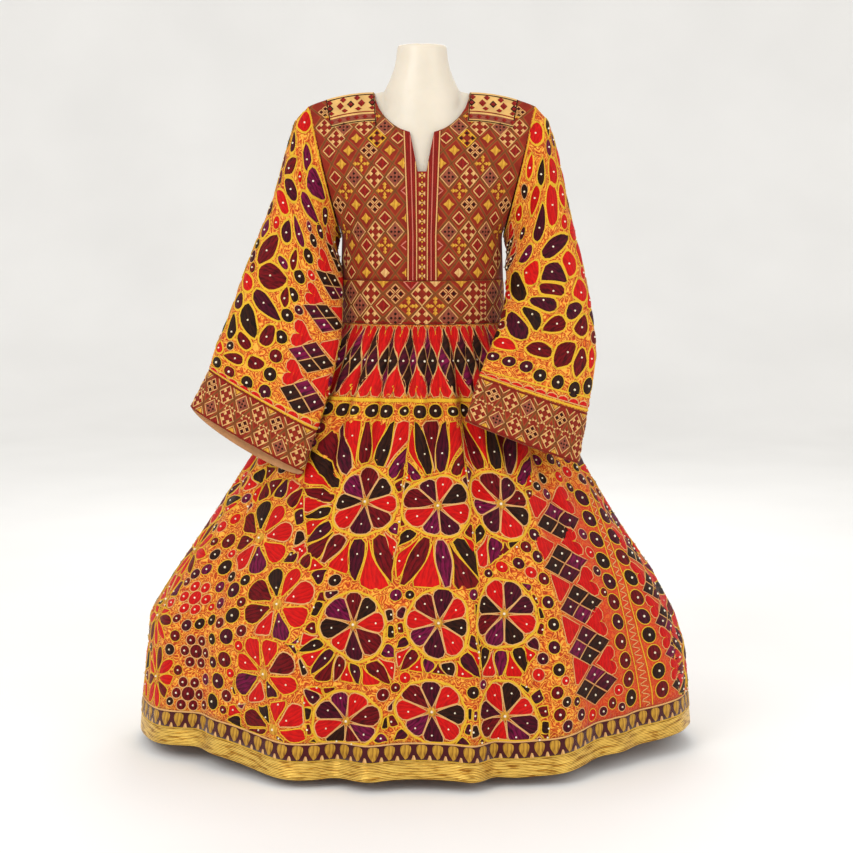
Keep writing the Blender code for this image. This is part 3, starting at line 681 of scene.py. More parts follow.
@dataclass(frozen=True)
class Lattice(Finish):
    """Cross-stitched cotton: brick red cells between brown bands that cross on the diagonal."""

    band: str = "#84481c"
    edge: str = "#b23a1a"
    share: float = 0.16  # half width of a band, as a share of a cell

    def surface(self, tree: Tree, shader: Node) -> None:
        """Diagonal bands from the chart, and the grid of the stitches."""
        parts = node(tree, "SeparateXYZ", {0: node(tree, "UVMap", uv_map="chart").outputs["UV"]})
        near = []
        for operation in ("ADD", "SUBTRACT"):
            slant = reckon(tree, operation, parts.outputs["X"], parts.outputs["Y"])
            near.append(reckon(tree, "PINGPONG", reckon(tree, "ADD", slant, 1.0), 1.0))
        stops = (
            (0.0, darker(self.band, 0.62)), (self.share * 0.25, self.band), (self.share * 0.9, self.band),
            (self.share, self.edge), (self.share * 1.5, self.colour),
        )
        tint = ramp(tree, reckon(tree, "MINIMUM", *near), stops)
        place = millimetres(tree, "cloth")
        stitch = node(tree, "TexVoronoi", {"Vector": place, "Scale": 0.55, "Randomness": 0.35}, distance="CHEBYCHEV")
        tone = ramp(tree, noise(tree, place, 0.05, detail=3.0), ((0.35, "#8c8078"), (0.65, "#ffffff")))
        shade = node(tree, "MixRGB", {"Fac": 0.35, "Color1": tint, "Color2": tone}, blend_type="MULTIPLY")
        tree.links.new(shade.outputs["Color"], shader.inputs["Base Color"])
        bump(tree, shader, stitch.outputs["Distance"], depth=0.5 * MM, strength=0.7)


@dataclass(frozen=True)
class WovenCotton(Finish):
    """Plain woven cotton: warp and weft 1.2 mm apart, drawn coarser than the real 0.4 mm."""

    pitch: float = 1.2

    def surface(self, tree: Tree, shader: Node) -> None:
        """A plain weave and a faint mottling of its colour."""
        place = millimetres(tree, "cloth")
        weave = reckon(tree, "MULTIPLY", *(bands(tree, place, self.pitch, axis, distortion=0.4) for axis in "XY"))
        tone = noise(tree, place, 0.04, detail=4.0)
        colour_by_ramp(tree, shader, tone, (0.3, darker(self.colour, 0.86)), (0.7, self.colour))
        bump(tree, shader, weave, depth=0.3 * MM, strength=0.6)


@dataclass(frozen=True)
class MetallicRibbon(Finish):
    """Gold lurex ribbon: flat metal strips woven across, ribbed along its edges."""

    rib: float = 50 / 11  # mm from one rib to the next
    # dark and bright: the painted shade and the painted highlight on the metal
    dark: str = "#6a3e0c"
    bright: str = "#f8d268"

    def surface(self, tree: Tree, shader: Node) -> None:
        """Ribs along the ribbon, painted lighter on their ridges, and bright and dark patches painted as highlights
        and shade on the metal.
        """
        place = millimetres(tree, "cloth")
        # patches painted bright and dark: highlights and shade on the metal
        patch = noise(tree, stretch(tree, place, 0.03, 0.16), 1.0, detail=4.0)
        # the ribs' ridges are painted lighter than their furrows, as light and shade
        both = reckon(tree, "MULTIPLY_ADD", bands(tree, place, self.rib, "Y", distortion=1.6), patch, 0.12)
        colour_by_ramp(
            tree, shader, reckon(tree, "ADD", both, patch), (0.56, self.dark), (0.76, self.colour), (1.0, self.bright)
        )
        gloss(tree, shader, patch, 0.5, 0.25)
        bump(tree, shader, both, depth=1.6 * MM, strength=0.9)


@dataclass(frozen=True)
class MouldedPlastic(Finish):
    """Glossy moulded ivory plastic with a faint orange-peel surface."""

    def surface(self, tree: Tree, shader: Node) -> None:
        """A soft mottling in colour and relief, and a clear gloss."""
        shader.inputs["Coat Weight"].default_value = 0.1
        shader.inputs["Coat Roughness"].default_value = 0.15
        shader.inputs["Subsurface Weight"].default_value = 0.25
        shader.inputs["Subsurface Scale"].default_value = 0.01
        shader.inputs["Subsurface Radius"].default_value = (1.0, 0.7, 0.4)
        place = own_place(tree)
        colour_by_ramp(tree, shader, noise(tree, place, 14.0, detail=3.0), (0.3, darker(self.colour, 0.96)), (0.7, self.colour))
        bump(tree, shader, noise(tree, place, 260.0, detail=1.0), depth=0.2 * MM, strength=0.3)


@dataclass(frozen=True)
class BrushedSteel(Finish):
    """Chromed steel, polished on a lathe: rings too fine to see give it a soft streak."""

    def surface(self, tree: Tree, shader: Node) -> None:
        """Fine rings and a few dull patches."""
        place = own_place(tree)
        gloss(tree, shader, noise(tree, place, 30.0, detail=4.0), 0.12, 0.3)
        inputs = {"Vector": place, "Scale": 160.0, "Distortion": 0.5}
        rings = node(tree, "TexWave", inputs, wave_type="RINGS", rings_direction="Z")
        bump(tree, shader, rings.outputs["Fac"], depth=0.1 * MM, strength=0.15)


@dataclass(frozen=True)
class BeadFinish(Finish):
    """Small pearl beads: ivory, with a thin gloss."""

    def surface(self, tree: Tree, shader: Node) -> None:
        """A clear gloss over a faint change of tone."""
        shader.inputs["Coat Weight"].default_value = 0.6
        colour_by_ramp(tree, shader, noise(tree, own_place(tree), 60.0), (0.3, "#d8c8a0"), (0.7, self.colour))


class Thread(Enum):
    """Colours of the embroidery threads."""

    PLUM = SatinThread("plum_floss", "#540c22", 0.5, shine=0.12, dark="#260812")
    MAROON = SatinThread("maroon_floss", "#780c14", 0.5, shine=0.12, dark="#3e060a")
    RED = SatinThread("red_floss", "#dc1612", 0.5, shine=0.12, dark="#b40e10")
    OLIVE = SatinThread("olive_floss", "#36180e", 0.5, shine=0.12, dark="#160a08")
    MAGENTA = SatinThread("magenta_floss", "#7c0f40", 0.5, shine=0.12, dark="#300818")
    SALMON = SatinThread("salmon_floss", "#a0523a", 0.55, dark="#7c3a28")
    CREAM = SatinThread("cream_floss", "#ecbc78", 0.55, dark="#cf9150")
    GOLD = SatinThread("gold_floss", "#e4aa38", 0.55, dark="#b87c1c")
    PURL = SatinThread("gold_purl", "#cf9c30", 0.4, metallic=0.35, shine=0.4, thread=2.6, dark="#8a5a14")
    BRICK = SatinThread("brick_floss", "#9a180c", 0.55, dark="#741008")
    YELLOW_LINE = ChainThread("yellow_chain", "#f8c22c", 0.6)
    CREAM_LINE = ChainThread("peach_chain", "#f6bc74", 0.6)
    PINK_LINE = ChainThread("pink_chain", "#e8836c", 0.6)


FLOWER_CLOTH = CurlGround("curl_stitched_cotton", "#d66a1c", 0.75, sheen=0.1)
LATTICE_CLOTH = Lattice("lattice_cotton", "#8a240e", 0.75, sheen=0.1)
PLACKET_CLOTH = WovenCotton("placket_cotton", "#8c180e", 0.75, sheen=0.1)
PALE_CLOTH = WovenCotton("pale_band_cotton", "#eab96c", 0.75, sheen=0.2)
BORDER_CLOTH = WovenCotton("maroon_velvet", "#4a0c14", 0.8, sheen=0.5)
RIBBON_GOLD = MetallicRibbon("gold_lurex", "#c4881a", 0.4, metallic=0.7, shine=0.5)
LINING = WovenCotton("tan_lining_cotton", "#d49a68", 0.8, sheen=0.2)
IVORY = MouldedPlastic("ivory_moulded_plastic", "#ddd2c0", 0.42, shine=0.5)
STEEL = BrushedSteel("chromed_steel", "#c8c8c8", 0.2, metallic=1.0, shine=0.5)
PEARL = BeadFinish("pearl_bead", "#f7eed6", 0.25, shine=0.5)


# Building pieces


def coordinates(mesh: bpy.types.Mesh, points: np.ndarray) -> None:
    """Puts a mesh's vertices at the points."""
    mesh.vertices.foreach_set("co", points.astype(np.float32).ravel())
    mesh.update()


def unwrap(mesh: bpy.types.Mesh, layer: str, values: np.ndarray) -> None:
    """Adds a UV map that holds a pair of values for each vertex."""
    corners = np.empty(len(mesh.loops), dtype=np.int32)
    mesh.loops.foreach_get("vertex_index", corners)
    made = mesh.uv_layers.new(name=layer)
    made.data.foreach_set("uv", values.reshape(-1, 2)[corners].astype(np.float32).ravel())


def new_piece(name: str, mesh: bpy.types.Mesh, finish: Finish, slot: str) -> Piece:
    """Puts a mesh in the scene as a piece that rides on the dress.

    Args:
        name: The piece's name.
        mesh: Its mesh, in place.
        finish: What it is made of.
        slot: The name of a material slot; not used.

    Returns:
        The piece.
    """
    mesh.name = name
    mesh.materials.append(finish.make())
    mesh.shade_smooth()
    made = bpy.data.objects.new(name, mesh)
    bpy.context.scene.collection.objects.link(made)
    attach(made, BODY_NAME)
    log.info("%s: %d faces", name, len(mesh.polygons))
    return made


def cloth_piece(
    name: str,
    points: np.ndarray,
    layers: dict[str, np.ndarray],
    finish: Finish,
    slot: str,
    wall: float = WALL,
    closed: bool = False,
    lining: Finish | None = None,
) -> Piece:
    """A cloth wall: a fine grid over the cloth's inner face, thickened outwards.

    Args:
        name: The piece's name.
        points: The inner face, in rows from the bottom up and columns towards the viewer's right.
        layers: The UV maps, each with a pair of values for each point.
        finish: The outer face's finish.
        slot: The name of a material slot; not used.
        wall: The cloth's thickness.
        closed: Whether the last column is the first one again.
        lining: The inner face's finish where it has its own.

    Returns:
        The piece.
    """
    rows, columns = points.shape[:2]
    shape = bmesh.new()
    bmesh.ops.create_grid(shape, x_segments=columns - 1, y_segments=rows - 1, size=1.0)
    mesh = bpy.data.meshes.new(name)
    shape.to_mesh(mesh)
    coordinates(mesh, points.reshape(-1, 3))
    for layer, values in layers.items():
        unwrap(mesh, layer, values)
    if closed:
        shape.clear()
        shape.from_mesh(mesh)
        bmesh.ops.remove_doubles(shape, verts=shape.verts, dist=1e-6)
        shape.to_mesh(mesh)
    shape.free()
    piece = new_piece(name, mesh, finish, slot)
    thicken = piece.modifiers.new("wall", "SOLIDIFY")
    thicken.thickness = wall
    thicken.offset = 1
    if lining is not None:
        mesh.materials.append(lining.make())
        thicken.material_offset = 1
    return piece


# Embroidery


SIDES = 16
Outline = np.ndarray
Spot = tuple[float, float]
Edge = Callable[[np.ndarray], np.ndarray]


def flat_spots(shape: Shape) -> Outline:
    """A shape's vertices from above, as complex numbers."""
    places = np.array([vert.co for vert in shape.verts])
    return places[:, 0] + 1j * places[:, 1]


class Template:
    """A small shape that is repeated: its mesh, and what each vertex stands for."""

    def __init__(self, shape: Shape, codes: np.ndarray):
        """Keeps the mesh and a row of codes for each vertex."""
        self.mesh = bpy.data.meshes.new("template")
        shape.to_mesh(self.mesh)
        shape.free()
        self.codes = codes

    @staticmethod
    @cache
    def pad() -> "Template":
        """A domed patch of 16 sides in three rings. Codes: which side, and how far out from the middle."""
        shape = bmesh.new()
        bmesh.ops.create_circle(shape, cap_ends=True, segments=SIDES, radius=1.0)
        for _ in range(2):
            inner = [face for face in shape.faces if len(face.verts) == SIDES]
            bmesh.ops.inset_individual(shape, faces=inner, thickness=0.3, use_even_offset=False)
        inner = [face for face in shape.faces if len(face.verts) == SIDES]
        bmesh.ops.poke(shape, faces=inner)
        spots = flat_spots(shape)
        side = np.round(np.angle(spots) / (2 * np.pi) * SIDES).astype(int) % SIDES
        return Template(shape, np.stack([side, np.round(np.abs(spots), 3)], axis=1))

    @staticmethod
    @cache
    def strip(stations: int, closed: bool) -> "Template":
        """A raised line, bent into a ring so that its ends can meet. Codes: which station, and -1 to 1 across."""
        cells, ring = stations if closed else stations - 1, 3
        shape = bmesh.new()
        bmesh.ops.create_grid(shape, x_segments=cells, y_segments=2, size=1.0)
        for vert in shape.verts:
            station, across = round((vert.co.x + 1) / 2 * cells), round(vert.co.y)
            angle = 2 * math.pi * station / stations
            vert.co = (math.cos(angle) * (ring - across), math.sin(angle) * (ring - across), 0)
        if closed:
            bmesh.ops.remove_doubles(shape, verts=shape.verts, dist=1e-5)
        spots = flat_spots(shape)
        station = np.round(np.angle(spots) / (2 * np.pi) * stations).astype(int) % stations
        return Template(shape, np.stack([station, np.round(ring - np.abs(spots))], axis=1))

    @staticmethod
    @cache
    def ball() -> "Template":
        """A bead of 20 faces. Codes: its own points on the unit sphere."""
        shape = bmesh.new()
        bmesh.ops.create_icosphere(shape, subdivisions=1, radius=1.0)
        return Template(shape, np.array([vert.co for vert in shape.verts]))


# How far the rims of filled shapes and of lines stand off the cloth
PAD_RIM = 0.55 * MM
LINE_RIM = 0.5 * MM
# A filled shape grows in height with its size over this one, up to a share
PAD_SIZE = 50 * MM
PAD_GROWTH = 0.5


def resample(outline: Outline, count: int = SIDES) -> Outline:
    """A closed outline as that many points, evenly spaced and counter-clockwise."""
    closed = np.append(outline, outline[0])
    if np.sum((closed[:-1].conj() * closed[1:]).imag) < 0:
        closed = closed[::-1]
    length = np.append(0, np.cumsum(np.abs(np.diff(closed))))
    return np.interp(np.linspace(0, length[-1], count, endpoint=False), length, closed)


def rounded(outline: Outline, times: int = 2) -> Outline:
    """An outline with its corners cut off again and again."""
    for _ in range(times):
        after = np.roll(outline, -1)
        outline = np.stack([outline * 0.75 + after * 0.25, outline * 0.25 + after * 0.75], axis=1).ravel()
    return outline


def clip(outline: Outline, normal: complex, limit: float) -> Outline:
    """The part of an outline that lies within a limit along a direction."""
    if not len(outline):
        return outline
    depth = (outline * normal.conjugate()).real - limit
    kept: list[complex] = []
    for here, there, now, then in zip(outline, np.roll(outline, -1), depth, np.roll(depth, -1)):
        if now <= 0:
            kept.append(here)
        if (now < 0 < then) or (then < 0 < now):
            kept.append(here + (there - here) * now / (now - then))
    return np.array(kept)


def polar(*points: tuple[float, float]) -> Outline:
    """Points from pairs of radius and degrees."""
    return np.array([radius * np.exp(1j * math.radians(degrees)) for radius, degrees in points])


def diamond(wide: float, high: float | None = None) -> Outline:
    """A square on its point, or a taller one."""
    return resample(np.array([wide, 1j * (high or wide), -wide, -1j * (high or wide)]))


def circle(radius: float, count: int = SIDES) -> Outline:
    """A circle as an outline."""
    return radius * np.exp(2j * np.pi * np.arange(count) / count)


def teardrop(length: float, width: float) -> Outline:
    """A petal along +x from the origin, pointed at the origin and round at its far end."""
    along = np.linspace(0, 1, 9)
    half = np.sin(np.pi * along * 0.94 + 0.02) * width / 2
    upper = along * length + 1j * half
    return resample(np.concatenate([upper.conj(), upper[::-1][1:-1]]))


def heart() -> Outline:
    """A heart about one across, with its point down and its middle at the origin."""
    turn = 2 * np.pi * np.arange(48) / 48
    x = 16 * np.sin(turn) ** 3
    y = 13 * np.cos(turn) - 5 * np.cos(2 * turn) - 2 * np.cos(3 * turn) - np.cos(4 * turn)
    return resample((x + 1j * (y + 2.5)) / 30)


def beside(ahead: Outline, width: float) -> Outline:
    """Half of a line's width, to the left of the way that it runs."""
    return 1j * ahead / np.maximum(np.abs(ahead), 1e-9) * width / 2


def level(v: float) -> Edge:
    """An edge that lies at the same v at every u."""
    return lambda u: np.full_like(np.asarray(u, dtype=float), v)


@dataclass
class Stamp:
    """One shape of stitches, placed."""

    template: Template
    points: np.ndarray
    stitch: np.ndarray


class Embroidery:
    """The stitches on one garment part, gathered by thread into one piece each."""

    def __init__(self, part: str, cloth: ClothMap, slot: str, lowest: Edge, highest: Edge, base: float = WALL):
        """Starts with bare cloth.

        Args:
            part: The garment part's name, which the pieces' names start with.
            cloth: Where the cloth lies.
            slot: The name of the cloth's material slot; not used.
            lowest: The lowest v at each u.
            highest: The highest v at each u.
            base: How far the cloth's outer face stands off the mapped one.
        """
        self.part, self.cloth, self.slot, self.base = part, cloth, slot, base
        self.lowest, self.highest = lowest, highest
        self.lots: dict[Finish, list[Stamp]] = {}
        self.taken: list[np.ndarray] = []

    def place(self, origin: Spot, spots: np.ndarray, lift: np.ndarray | float) -> np.ndarray:
        """Points on the cloth for flat spots round an origin, kept off the cloth's edges."""
        u, v = self.cloth.around(origin, spots)
        v = np.clip(v, self.lowest(u), self.highest(u))
        return self.cloth.at(u, v, self.base + lift)

    def add(self, finish: Finish, template: Template, points: np.ndarray, stitch: np.ndarray) -> None:
        """Keeps a placed shape for this thread, and the room that it takes unless it is a bead."""
        self.lots.setdefault(finish, []).append(Stamp(template, points, stitch))
        if finish is not PEARL:
            self.taken.append(points)

    def pad(
        self, thread: Thread, origin: Spot, outline: Outline, height: float = 1.1 * MM, along: complex = 1j,
        lift: float = 0.0,
    ) -> None:
        """Satin stitch that fills an outline of 16 points, domed in its middle.

        Args:
            thread: The floss.
            origin: The u and v that the outline is drawn round.
            outline: The shape in metres.
            height: How far the middle stands up.
            along: The direction the threads run in.
            lift: How far it is raised over the cloth besides.
        """
        template = Template.pad()
        side, share = template.codes.T
        middle = outline.mean()
        spots = middle + (outline[side.astype(int)] - middle) * share
        height *= 1 + min(float(np.abs(outline - middle).mean()) / PAD_SIZE, PAD_GROWTH)
        points = self.place(origin, spots, lift + PAD_RIM + height * (1 - share**2))
        flat = (spots - middle) / along
        self.add(thread.value, template, points, np.stack([flat.real, flat.imag], axis=1))

    def line(
        self, thread: Thread, origin: Spot, path: Outline, width: float = 1.9 * MM, closed: bool = True,
        height: float = 0.9 * MM, lift: float = 0.0,
    ) -> None:
        """A raised line of chain stitch along a path.

        Args:
            thread: The cotton.
            origin: The u and v that the path is drawn round.
            path: Its points in metres.
            width: How wide the line is.
            closed: Whether it ends where it starts.
            height: How far it stands up.
            lift: How far it is raised over the cloth besides.
        """
        template = Template.strip(len(path), closed)
        station, across = template.codes[:, 0].astype(int), template.codes[:, 1]
        ahead = np.roll(path, -1) - np.roll(path, 1) if closed else np.gradient(path)
        spots = path[station] + beside(ahead, width)[station] * across
        points = self.place(origin, spots, lift + LINE_RIM + height * (1 - across**2))
        run = np.cumsum(np.abs(np.diff(path, prepend=path[-1 if closed else 0])))[station]
        self.add(thread.value, template, points, np.stack([run, across * width / 2], axis=1))

    def trail(self, thread: Thread, u: np.ndarray, v: np.ndarray, width: float, height: float = 0.8 * MM) -> None:
        """A raised line through places on the cloth that are far apart."""
        template = Template.strip(len(u), False)
        station, across = template.codes[:, 0].astype(int), template.codes[:, 1]
        span = np.interp(v, self.cloth.v, self.cloth.span)
        rise = np.interp(v, self.cloth.v, self.cloth.rise)
        ahead = np.gradient(u) * span + 1j * np.gradient(v) * rise
        shift = beside(ahead, width)[station] * across
        spots_u = u[station] + shift.real / span[station]
        spots_v = v[station] + shift.imag / rise[station]
        spots_v = np.clip(spots_v, self.lowest(spots_u), self.highest(spots_u))
        points = self.cloth.at(spots_u, spots_v, self.base + LINE_RIM + height * (1 - across**2))
        run = np.cumsum(np.abs(ahead))[station]
        self.add(thread.value, template, points, np.stack([run, across * width / 2], axis=1))

    def belt(
        self, thread: Thread, v: float, width: float, height: float = 0.8 * MM, reach: float = 180.0,
        stations: int = 181,
    ) -> None:
        """A raised line at one v, from one end of the cloth to the other."""
        u = np.linspace(-reach, reach, stations)
        self.trail(thread, u, np.full_like(u, v), width, height)

    def dot(self, thread: Thread, origin: Spot, centre: complex, radius: float) -> None:
        """A small raised diamond over a filled shape."""
        self.line(thread, origin, diamond(radius * 0.55)[::2] + centre, radius, height=0.5 * MM, lift=0.9 * MM)

    def bead(self, origin: Spot, spot: complex, radius: float = 2.0 * MM, lift: float = 1.8 * MM) -> None:
        """A pearl bead sewn on at a spot."""
        template = Template.ball()
        centre = self.place(origin, np.array([spot]), lift)[0]
        swell = 1.25  # a ball of 20 faces is thinner than its radius
        self.add(PEARL, template, centre + template.codes * radius * swell, template.codes[:, :2] * radius)

    def sew(self) -> None:
        """Makes one piece of each thread's shapes."""
        for finish, stamps in self.lots.items():
            shape = bmesh.new()
            for stamp in stamps:
                shape.from_mesh(stamp.template.mesh)
            mesh = bpy.data.meshes.new("stitches")
            shape.to_mesh(mesh)
            shape.free()
            coordinates(mesh, np.concatenate([stamp.points for stamp in stamps]))
            unwrap(mesh, "stitch", np.concatenate([stamp.stitch for stamp in stamps]))
            new_piece(f"{self.part}_{finish.name}", mesh, finish, self.slot)


class FlowerKind(Enum):
    """The flowers' kinds, each with the radius that it holds against its neighbours."""

    RINGED = 60
    FREE = 44
    BURST = 34
    DISC = 17
    SMALL_DISC = 10
    NOTHING = 26


@dataclass(frozen=True)
class Flower:
    """One flower: its kind and where its middle is on the cloth."""

    kind: FlowerKind
    u: float
    v: float
    turn: float = 0.0
    size: float = 1.0

    @property
    def spot(self) -> Spot:
        """Where its middle is."""
        return self.u, self.v

    @property
    def radius(self) -> float:
        """The radius that it holds, in metres."""
        return self.kind.value * self.size * MM


class Garden:
    """Flowers that share a cloth: each takes the room up to its neighbours."""

    petals = (
        Thread.PLUM, Thread.RED, Thread.OLIVE, Thread.MAROON, Thread.MAGENTA, Thread.OLIVE, Thread.RED, Thread.PLUM,
        Thread.MAROON, Thread.RED, Thread.MAGENTA,
    )
    darks = (Thread.PLUM, Thread.OLIVE, Thread.MAROON, Thread.MAGENTA, Thread.OLIVE, Thread.PLUM, Thread.MAROON)
    reds = (Thread.RED, Thread.RED, Thread.MAROON, Thread.RED, Thread.RED)
    gap = 0.8 * MM  # bare cloth on each side of the line between two flowers
    hold = 1.06  # how far a ring keeps off the ring over or under it, in radii
    spread = 1.6  # a petal laid on its own is wider across the cloth than along it
    nearest, farthest = 6 * MM, 90 * MM  # beyond these, two petals leave each other's edges alone
    smallest, largest, most = 10.5 * MM, 14 * MM, 900  # radii of the small discs, and their number

    def __init__(self, work: Embroidery, flowers: Sequence[Flower], seed: int):
        """Keeps the flowers and the cloth they are stitched on."""
        self.work, self.flowers = work, flowers
        self.random = np.random.default_rng(seed)
        self.room = circle(1.0)

    def clear(self, flower: Flower, reach: float) -> Outline:
        """Takes the room round a flower, as an outline in metres."""
        room = circle(reach, 32)
        cloth = self.work.cloth
        mine = flower.kind.value * flower.size
        for other in self.flowers:
            if other is flower:
                continue
            apart = cloth.offset(flower.spot, other.spot)
            distance = abs(apart)
            if 1e-4 < distance < reach * 2.2:
                theirs = other.kind.value * other.size
                limit = distance * mine / (mine + theirs)
                ringed = flower.kind is FlowerKind.RINGED is other.kind
                if ringed and abs(apart.imag) > abs(apart.real):
                    limit = self.hold * mine * MM if apart.imag > 0 else distance - self.hold * theirs * MM
                room = clip(room, apart / distance, limit - self.gap)
        rise = np.interp(flower.v, cloth.v, cloth.rise)
        low = float(self.work.lowest(np.array(flower.u)))
        high = float(self.work.highest(np.array(flower.u)))
        room = clip(room, 1j, (high - flower.v) * rise - self.gap)
        self.room = clip(room, -1j, (flower.v - low) * rise - self.gap)
        return self.room

    def petal(
        self, flower: Flower, outline: Outline, axis: complex, thread: Thread, edge: Thread, width: float
    ) -> None:
        """One filled petal with its outline."""
        shape = self.squeeze(self.warp(flower, resample(rounded(outline))))
        self.work.pad(thread, flower.spot, shape, along=axis, lift=0.2 * MM)
        self.work.line(edge, flower.spot, shape, width, height=1.1 * MM)

    def laid(
        self, thread: Thread, tip: Spot, end: Spot, width: float, middles: Sequence[tuple[float, float, float]]
    ) -> None:
        """One petal of its own.

        Args:
            thread: Its floss.
            tip: Its pointed end.
            end: Its round end.
            width: Half of its width, about.
            middles: The u, v and length of every such petal, which share the room between them.
        """
        reach = self.work.cloth.offset(tip, end)
        side = 1j * reach / abs(reach) * width
        side = complex(self.spread * side.real, side.imag)
        run = np.array([-0.06, 0.26, 0.7, 1.02, 1.1, 1.02, 0.7, 0.26]) * reach
        shape = run + side * np.array([0, -0.46, -0.72, -0.42, 0, 0.42, 0.72, 0.46])
        mine = abs(reach) + 2 * width
        for u, v, theirs in middles:
            apart = self.work.cloth.offset(tip, (u, v)) - reach / 2
            if self.nearest < abs(apart) < self.farthest:
                way, share = apart / abs(apart), mine / (mine + theirs)
                shape = clip(shape, way, (reach * way.conjugate()).real / 2 + abs(apart) * share - 1.4 * MM)
        shape = resample(rounded(rounded(resample(shape))))
        self.work.pad(thread, tip, shape, along=reach / abs(reach))
        self.work.line(Thread.YELLOW_LINE, tip, shape, 4.6 * MM)
        self.work.bead(tip, reach * 0.62, 1.8 * MM)

    def warp(self, flower: Flower, outline: Outline) -> Outline:
        """An outline drawn less evenly, as by hand, the more so near the flower's middle."""
        turn, phase = np.angle(outline), flower.u * 0.37 + flower.v * 11
        amount = 1 - smooth((np.abs(outline) - flower.radius) / (0.9 * flower.radius))
        swell = 0.075 * np.sin(2 * turn + phase) + 0.05 * np.sin(3 * turn + 2.3 * phase)
        return outline * (1 + amount * swell) * np.exp(0.05j * amount * np.sin(2 * turn + 1.7 * phase))

    def squeeze(self, path: Outline) -> Outline:
        """A path whose points outside the flower's room are drawn in to its edge."""
        closed = np.append(self.room, self.room[0])
        dense = np.interp(np.linspace(0, len(self.room), 256), np.arange(len(closed)), closed)
        angles = np.angle(dense)
        order = np.argsort(angles)
        limit = np.interp(np.angle(path), angles[order], np.abs(dense)[order], period=2 * np.pi)
        size = np.maximum(np.abs(path), 1e-9)
        return path * np.minimum(1.0, np.maximum(limit - 0.5 * MM, 0) / size)

    def grow(self, chosen: Sequence[Flower]) -> None:
        """Stitches these flowers."""
        ways = {
            FlowerKind.RINGED: self.ringed, FlowerKind.FREE: self.free, FlowerKind.BURST: self.burst,
            FlowerKind.DISC: self.disc, FlowerKind.SMALL_DISC: self.disc,
        }
        for flower in chosen:
            if flower.kind in ways:
                ways[flower.kind](flower, flower.radius)

    def middle(self, flower: Flower, radius: float, bead: float = 2.2 * MM) -> None:
        """A gold middle with a pearl on it."""
        self.work.pad(Thread.GOLD, flower.spot, circle(radius), 1.6 * MM)
        self.work.bead(flower.spot, 0j, bead, bead)

    def ringed(self, flower: Flower, ring: float) -> None:
        """Eight wedges inside a scalloped ring, and petals outside it as far as the room goes."""
        room = self.clear(flower, ring * 3.0)
        inner = ring * 0.95
        wedge = polar((0.1, 0), (0.5, -21), (0.93, -21.5), (1.05, -10), (1.05, 10), (0.93, 21.5), (0.5, 21)) * inner
        first = int(self.random.integers(11))
        for index in range(8):
            axis = np.exp(1j * math.radians(45 * index + flower.turn))
            shape = self.squeeze(resample(wedge * axis, 24))
            self.petal(flower, shape, axis, self.petals[(first + index) % 11], Thread.CREAM_LINE, 2.3 * MM)
            self.work.bead(flower.spot, axis * inner * 0.74, 1.6 * MM)
        self.middle(flower, ring * 0.13, 2.4 * MM)
        turn = 2 * np.pi * np.arange(64) / 64
        scallop = ring * (0.98 + 0.05 * np.abs(np.cos(4 * (turn - math.radians(flower.turn)))) ** 0.7)
        path = self.squeeze(self.warp(flower, scallop * np.exp(1j * turn)))
        self.work.line(Thread.YELLOW_LINE, flower.spot, path, 4.4 * MM, height=1.4 * MM)
        self.outer(flower, room, ring * 1.07, 30, first)

    def taper(self, share: np.ndarray, few: bool, long: bool, inward: bool) -> np.ndarray:
        """How wide a petal is from its root to its far end, against the room that it has."""
        if few:
            return (0.5 + 0.42 * smooth(share / 0.5)) * (1 - 0.5 * smooth((share - 0.68) / 0.32))
        if not long:
            return 1.65 - 0.4 * smooth((share - 0.4) / 0.6)
        if inward:
            return 0.2 + 1.2 * smooth((share - 0.1) / 0.8)
        return 1.5 - 1.2 * smooth((share - 0.25) / 0.75)

    def outer(self, flower: Flower, room: Outline, start: float, count: int, first: int) -> None:
        """Petals from a ring out to the edge of a room: dark ones point away, and red ones between them inwards.

        Args:
            flower: The flower that they belong to.
            room: The outline that they end at.
            start: The radius that they start from.
            count: How many there are all round. A few broad ones are all of one kind.
            first: Where the order of the threads starts.
        """
        half, few = math.pi / count, count < 12
        for index in range(count):
            axis = np.exp(1j * (2 * half * (index + 0.5) + math.radians(flower.turn)))
            shape = clip(room, 1j * axis * np.exp(1j * half), 0.0)
            shape = clip(shape, -1j * axis * np.exp(-1j * half), 0.0)
            shape = clip(shape, -axis, -start)
            if len(shape) < 3:
                continue
            local = resample(shape, 24) / axis
            near, far = local.real.min(), local.real.max()
            long, inward = far - near > 24 * MM or few, index % 2 == 1
            if far - near < 8 * MM or (inward and not long):
                continue
            width = self.taper((local.real - near) / max(far - near, MM), few, long, inward)
            middle = (local.imag.max() + local.imag.min()) / 2
            local = local.real + 1j * (middle + (local.imag - middle) * width)
            centre = local.mean()
            size = np.abs(local - centre).mean()
            local = centre + (local - centre) * max(0.5, 1 - 0.9 * MM / size)
            lot = self.reds if inward else self.petals if few else self.darks
            thread = lot[(first + index // 2 + index // 8) % len(lot)]
            edge = Thread.YELLOW_LINE if index % 5 else Thread.CREAM_LINE
            self.petal(flower, local * axis, axis, thread, edge, 2.7 * MM)
            if (index + first) % 4:
                bead = near + (far - near) * (0.64 if inward or not long else 0.36)
                self.work.bead(flower.spot, self.warp(flower, (bead + 1j * middle) * axis), 1.7 * MM)

    def free(self, flower: Flower, scale: float) -> None:
        """Eight petals from the middle, and a second ring of them as far as the room goes."""
        room = self.clear(flower, scale * 2.4)
        first = int(self.random.integers(11))
        self.outer(flower, self.squeeze(circle(scale * 1.5, 48)), scale * 0.24, 8, first)
        self.outer(flower, room, scale * 1.58, 20 if self.work.part.startswith("sleeve") else 26, first + 3)
        self.middle(flower, scale * 0.2)

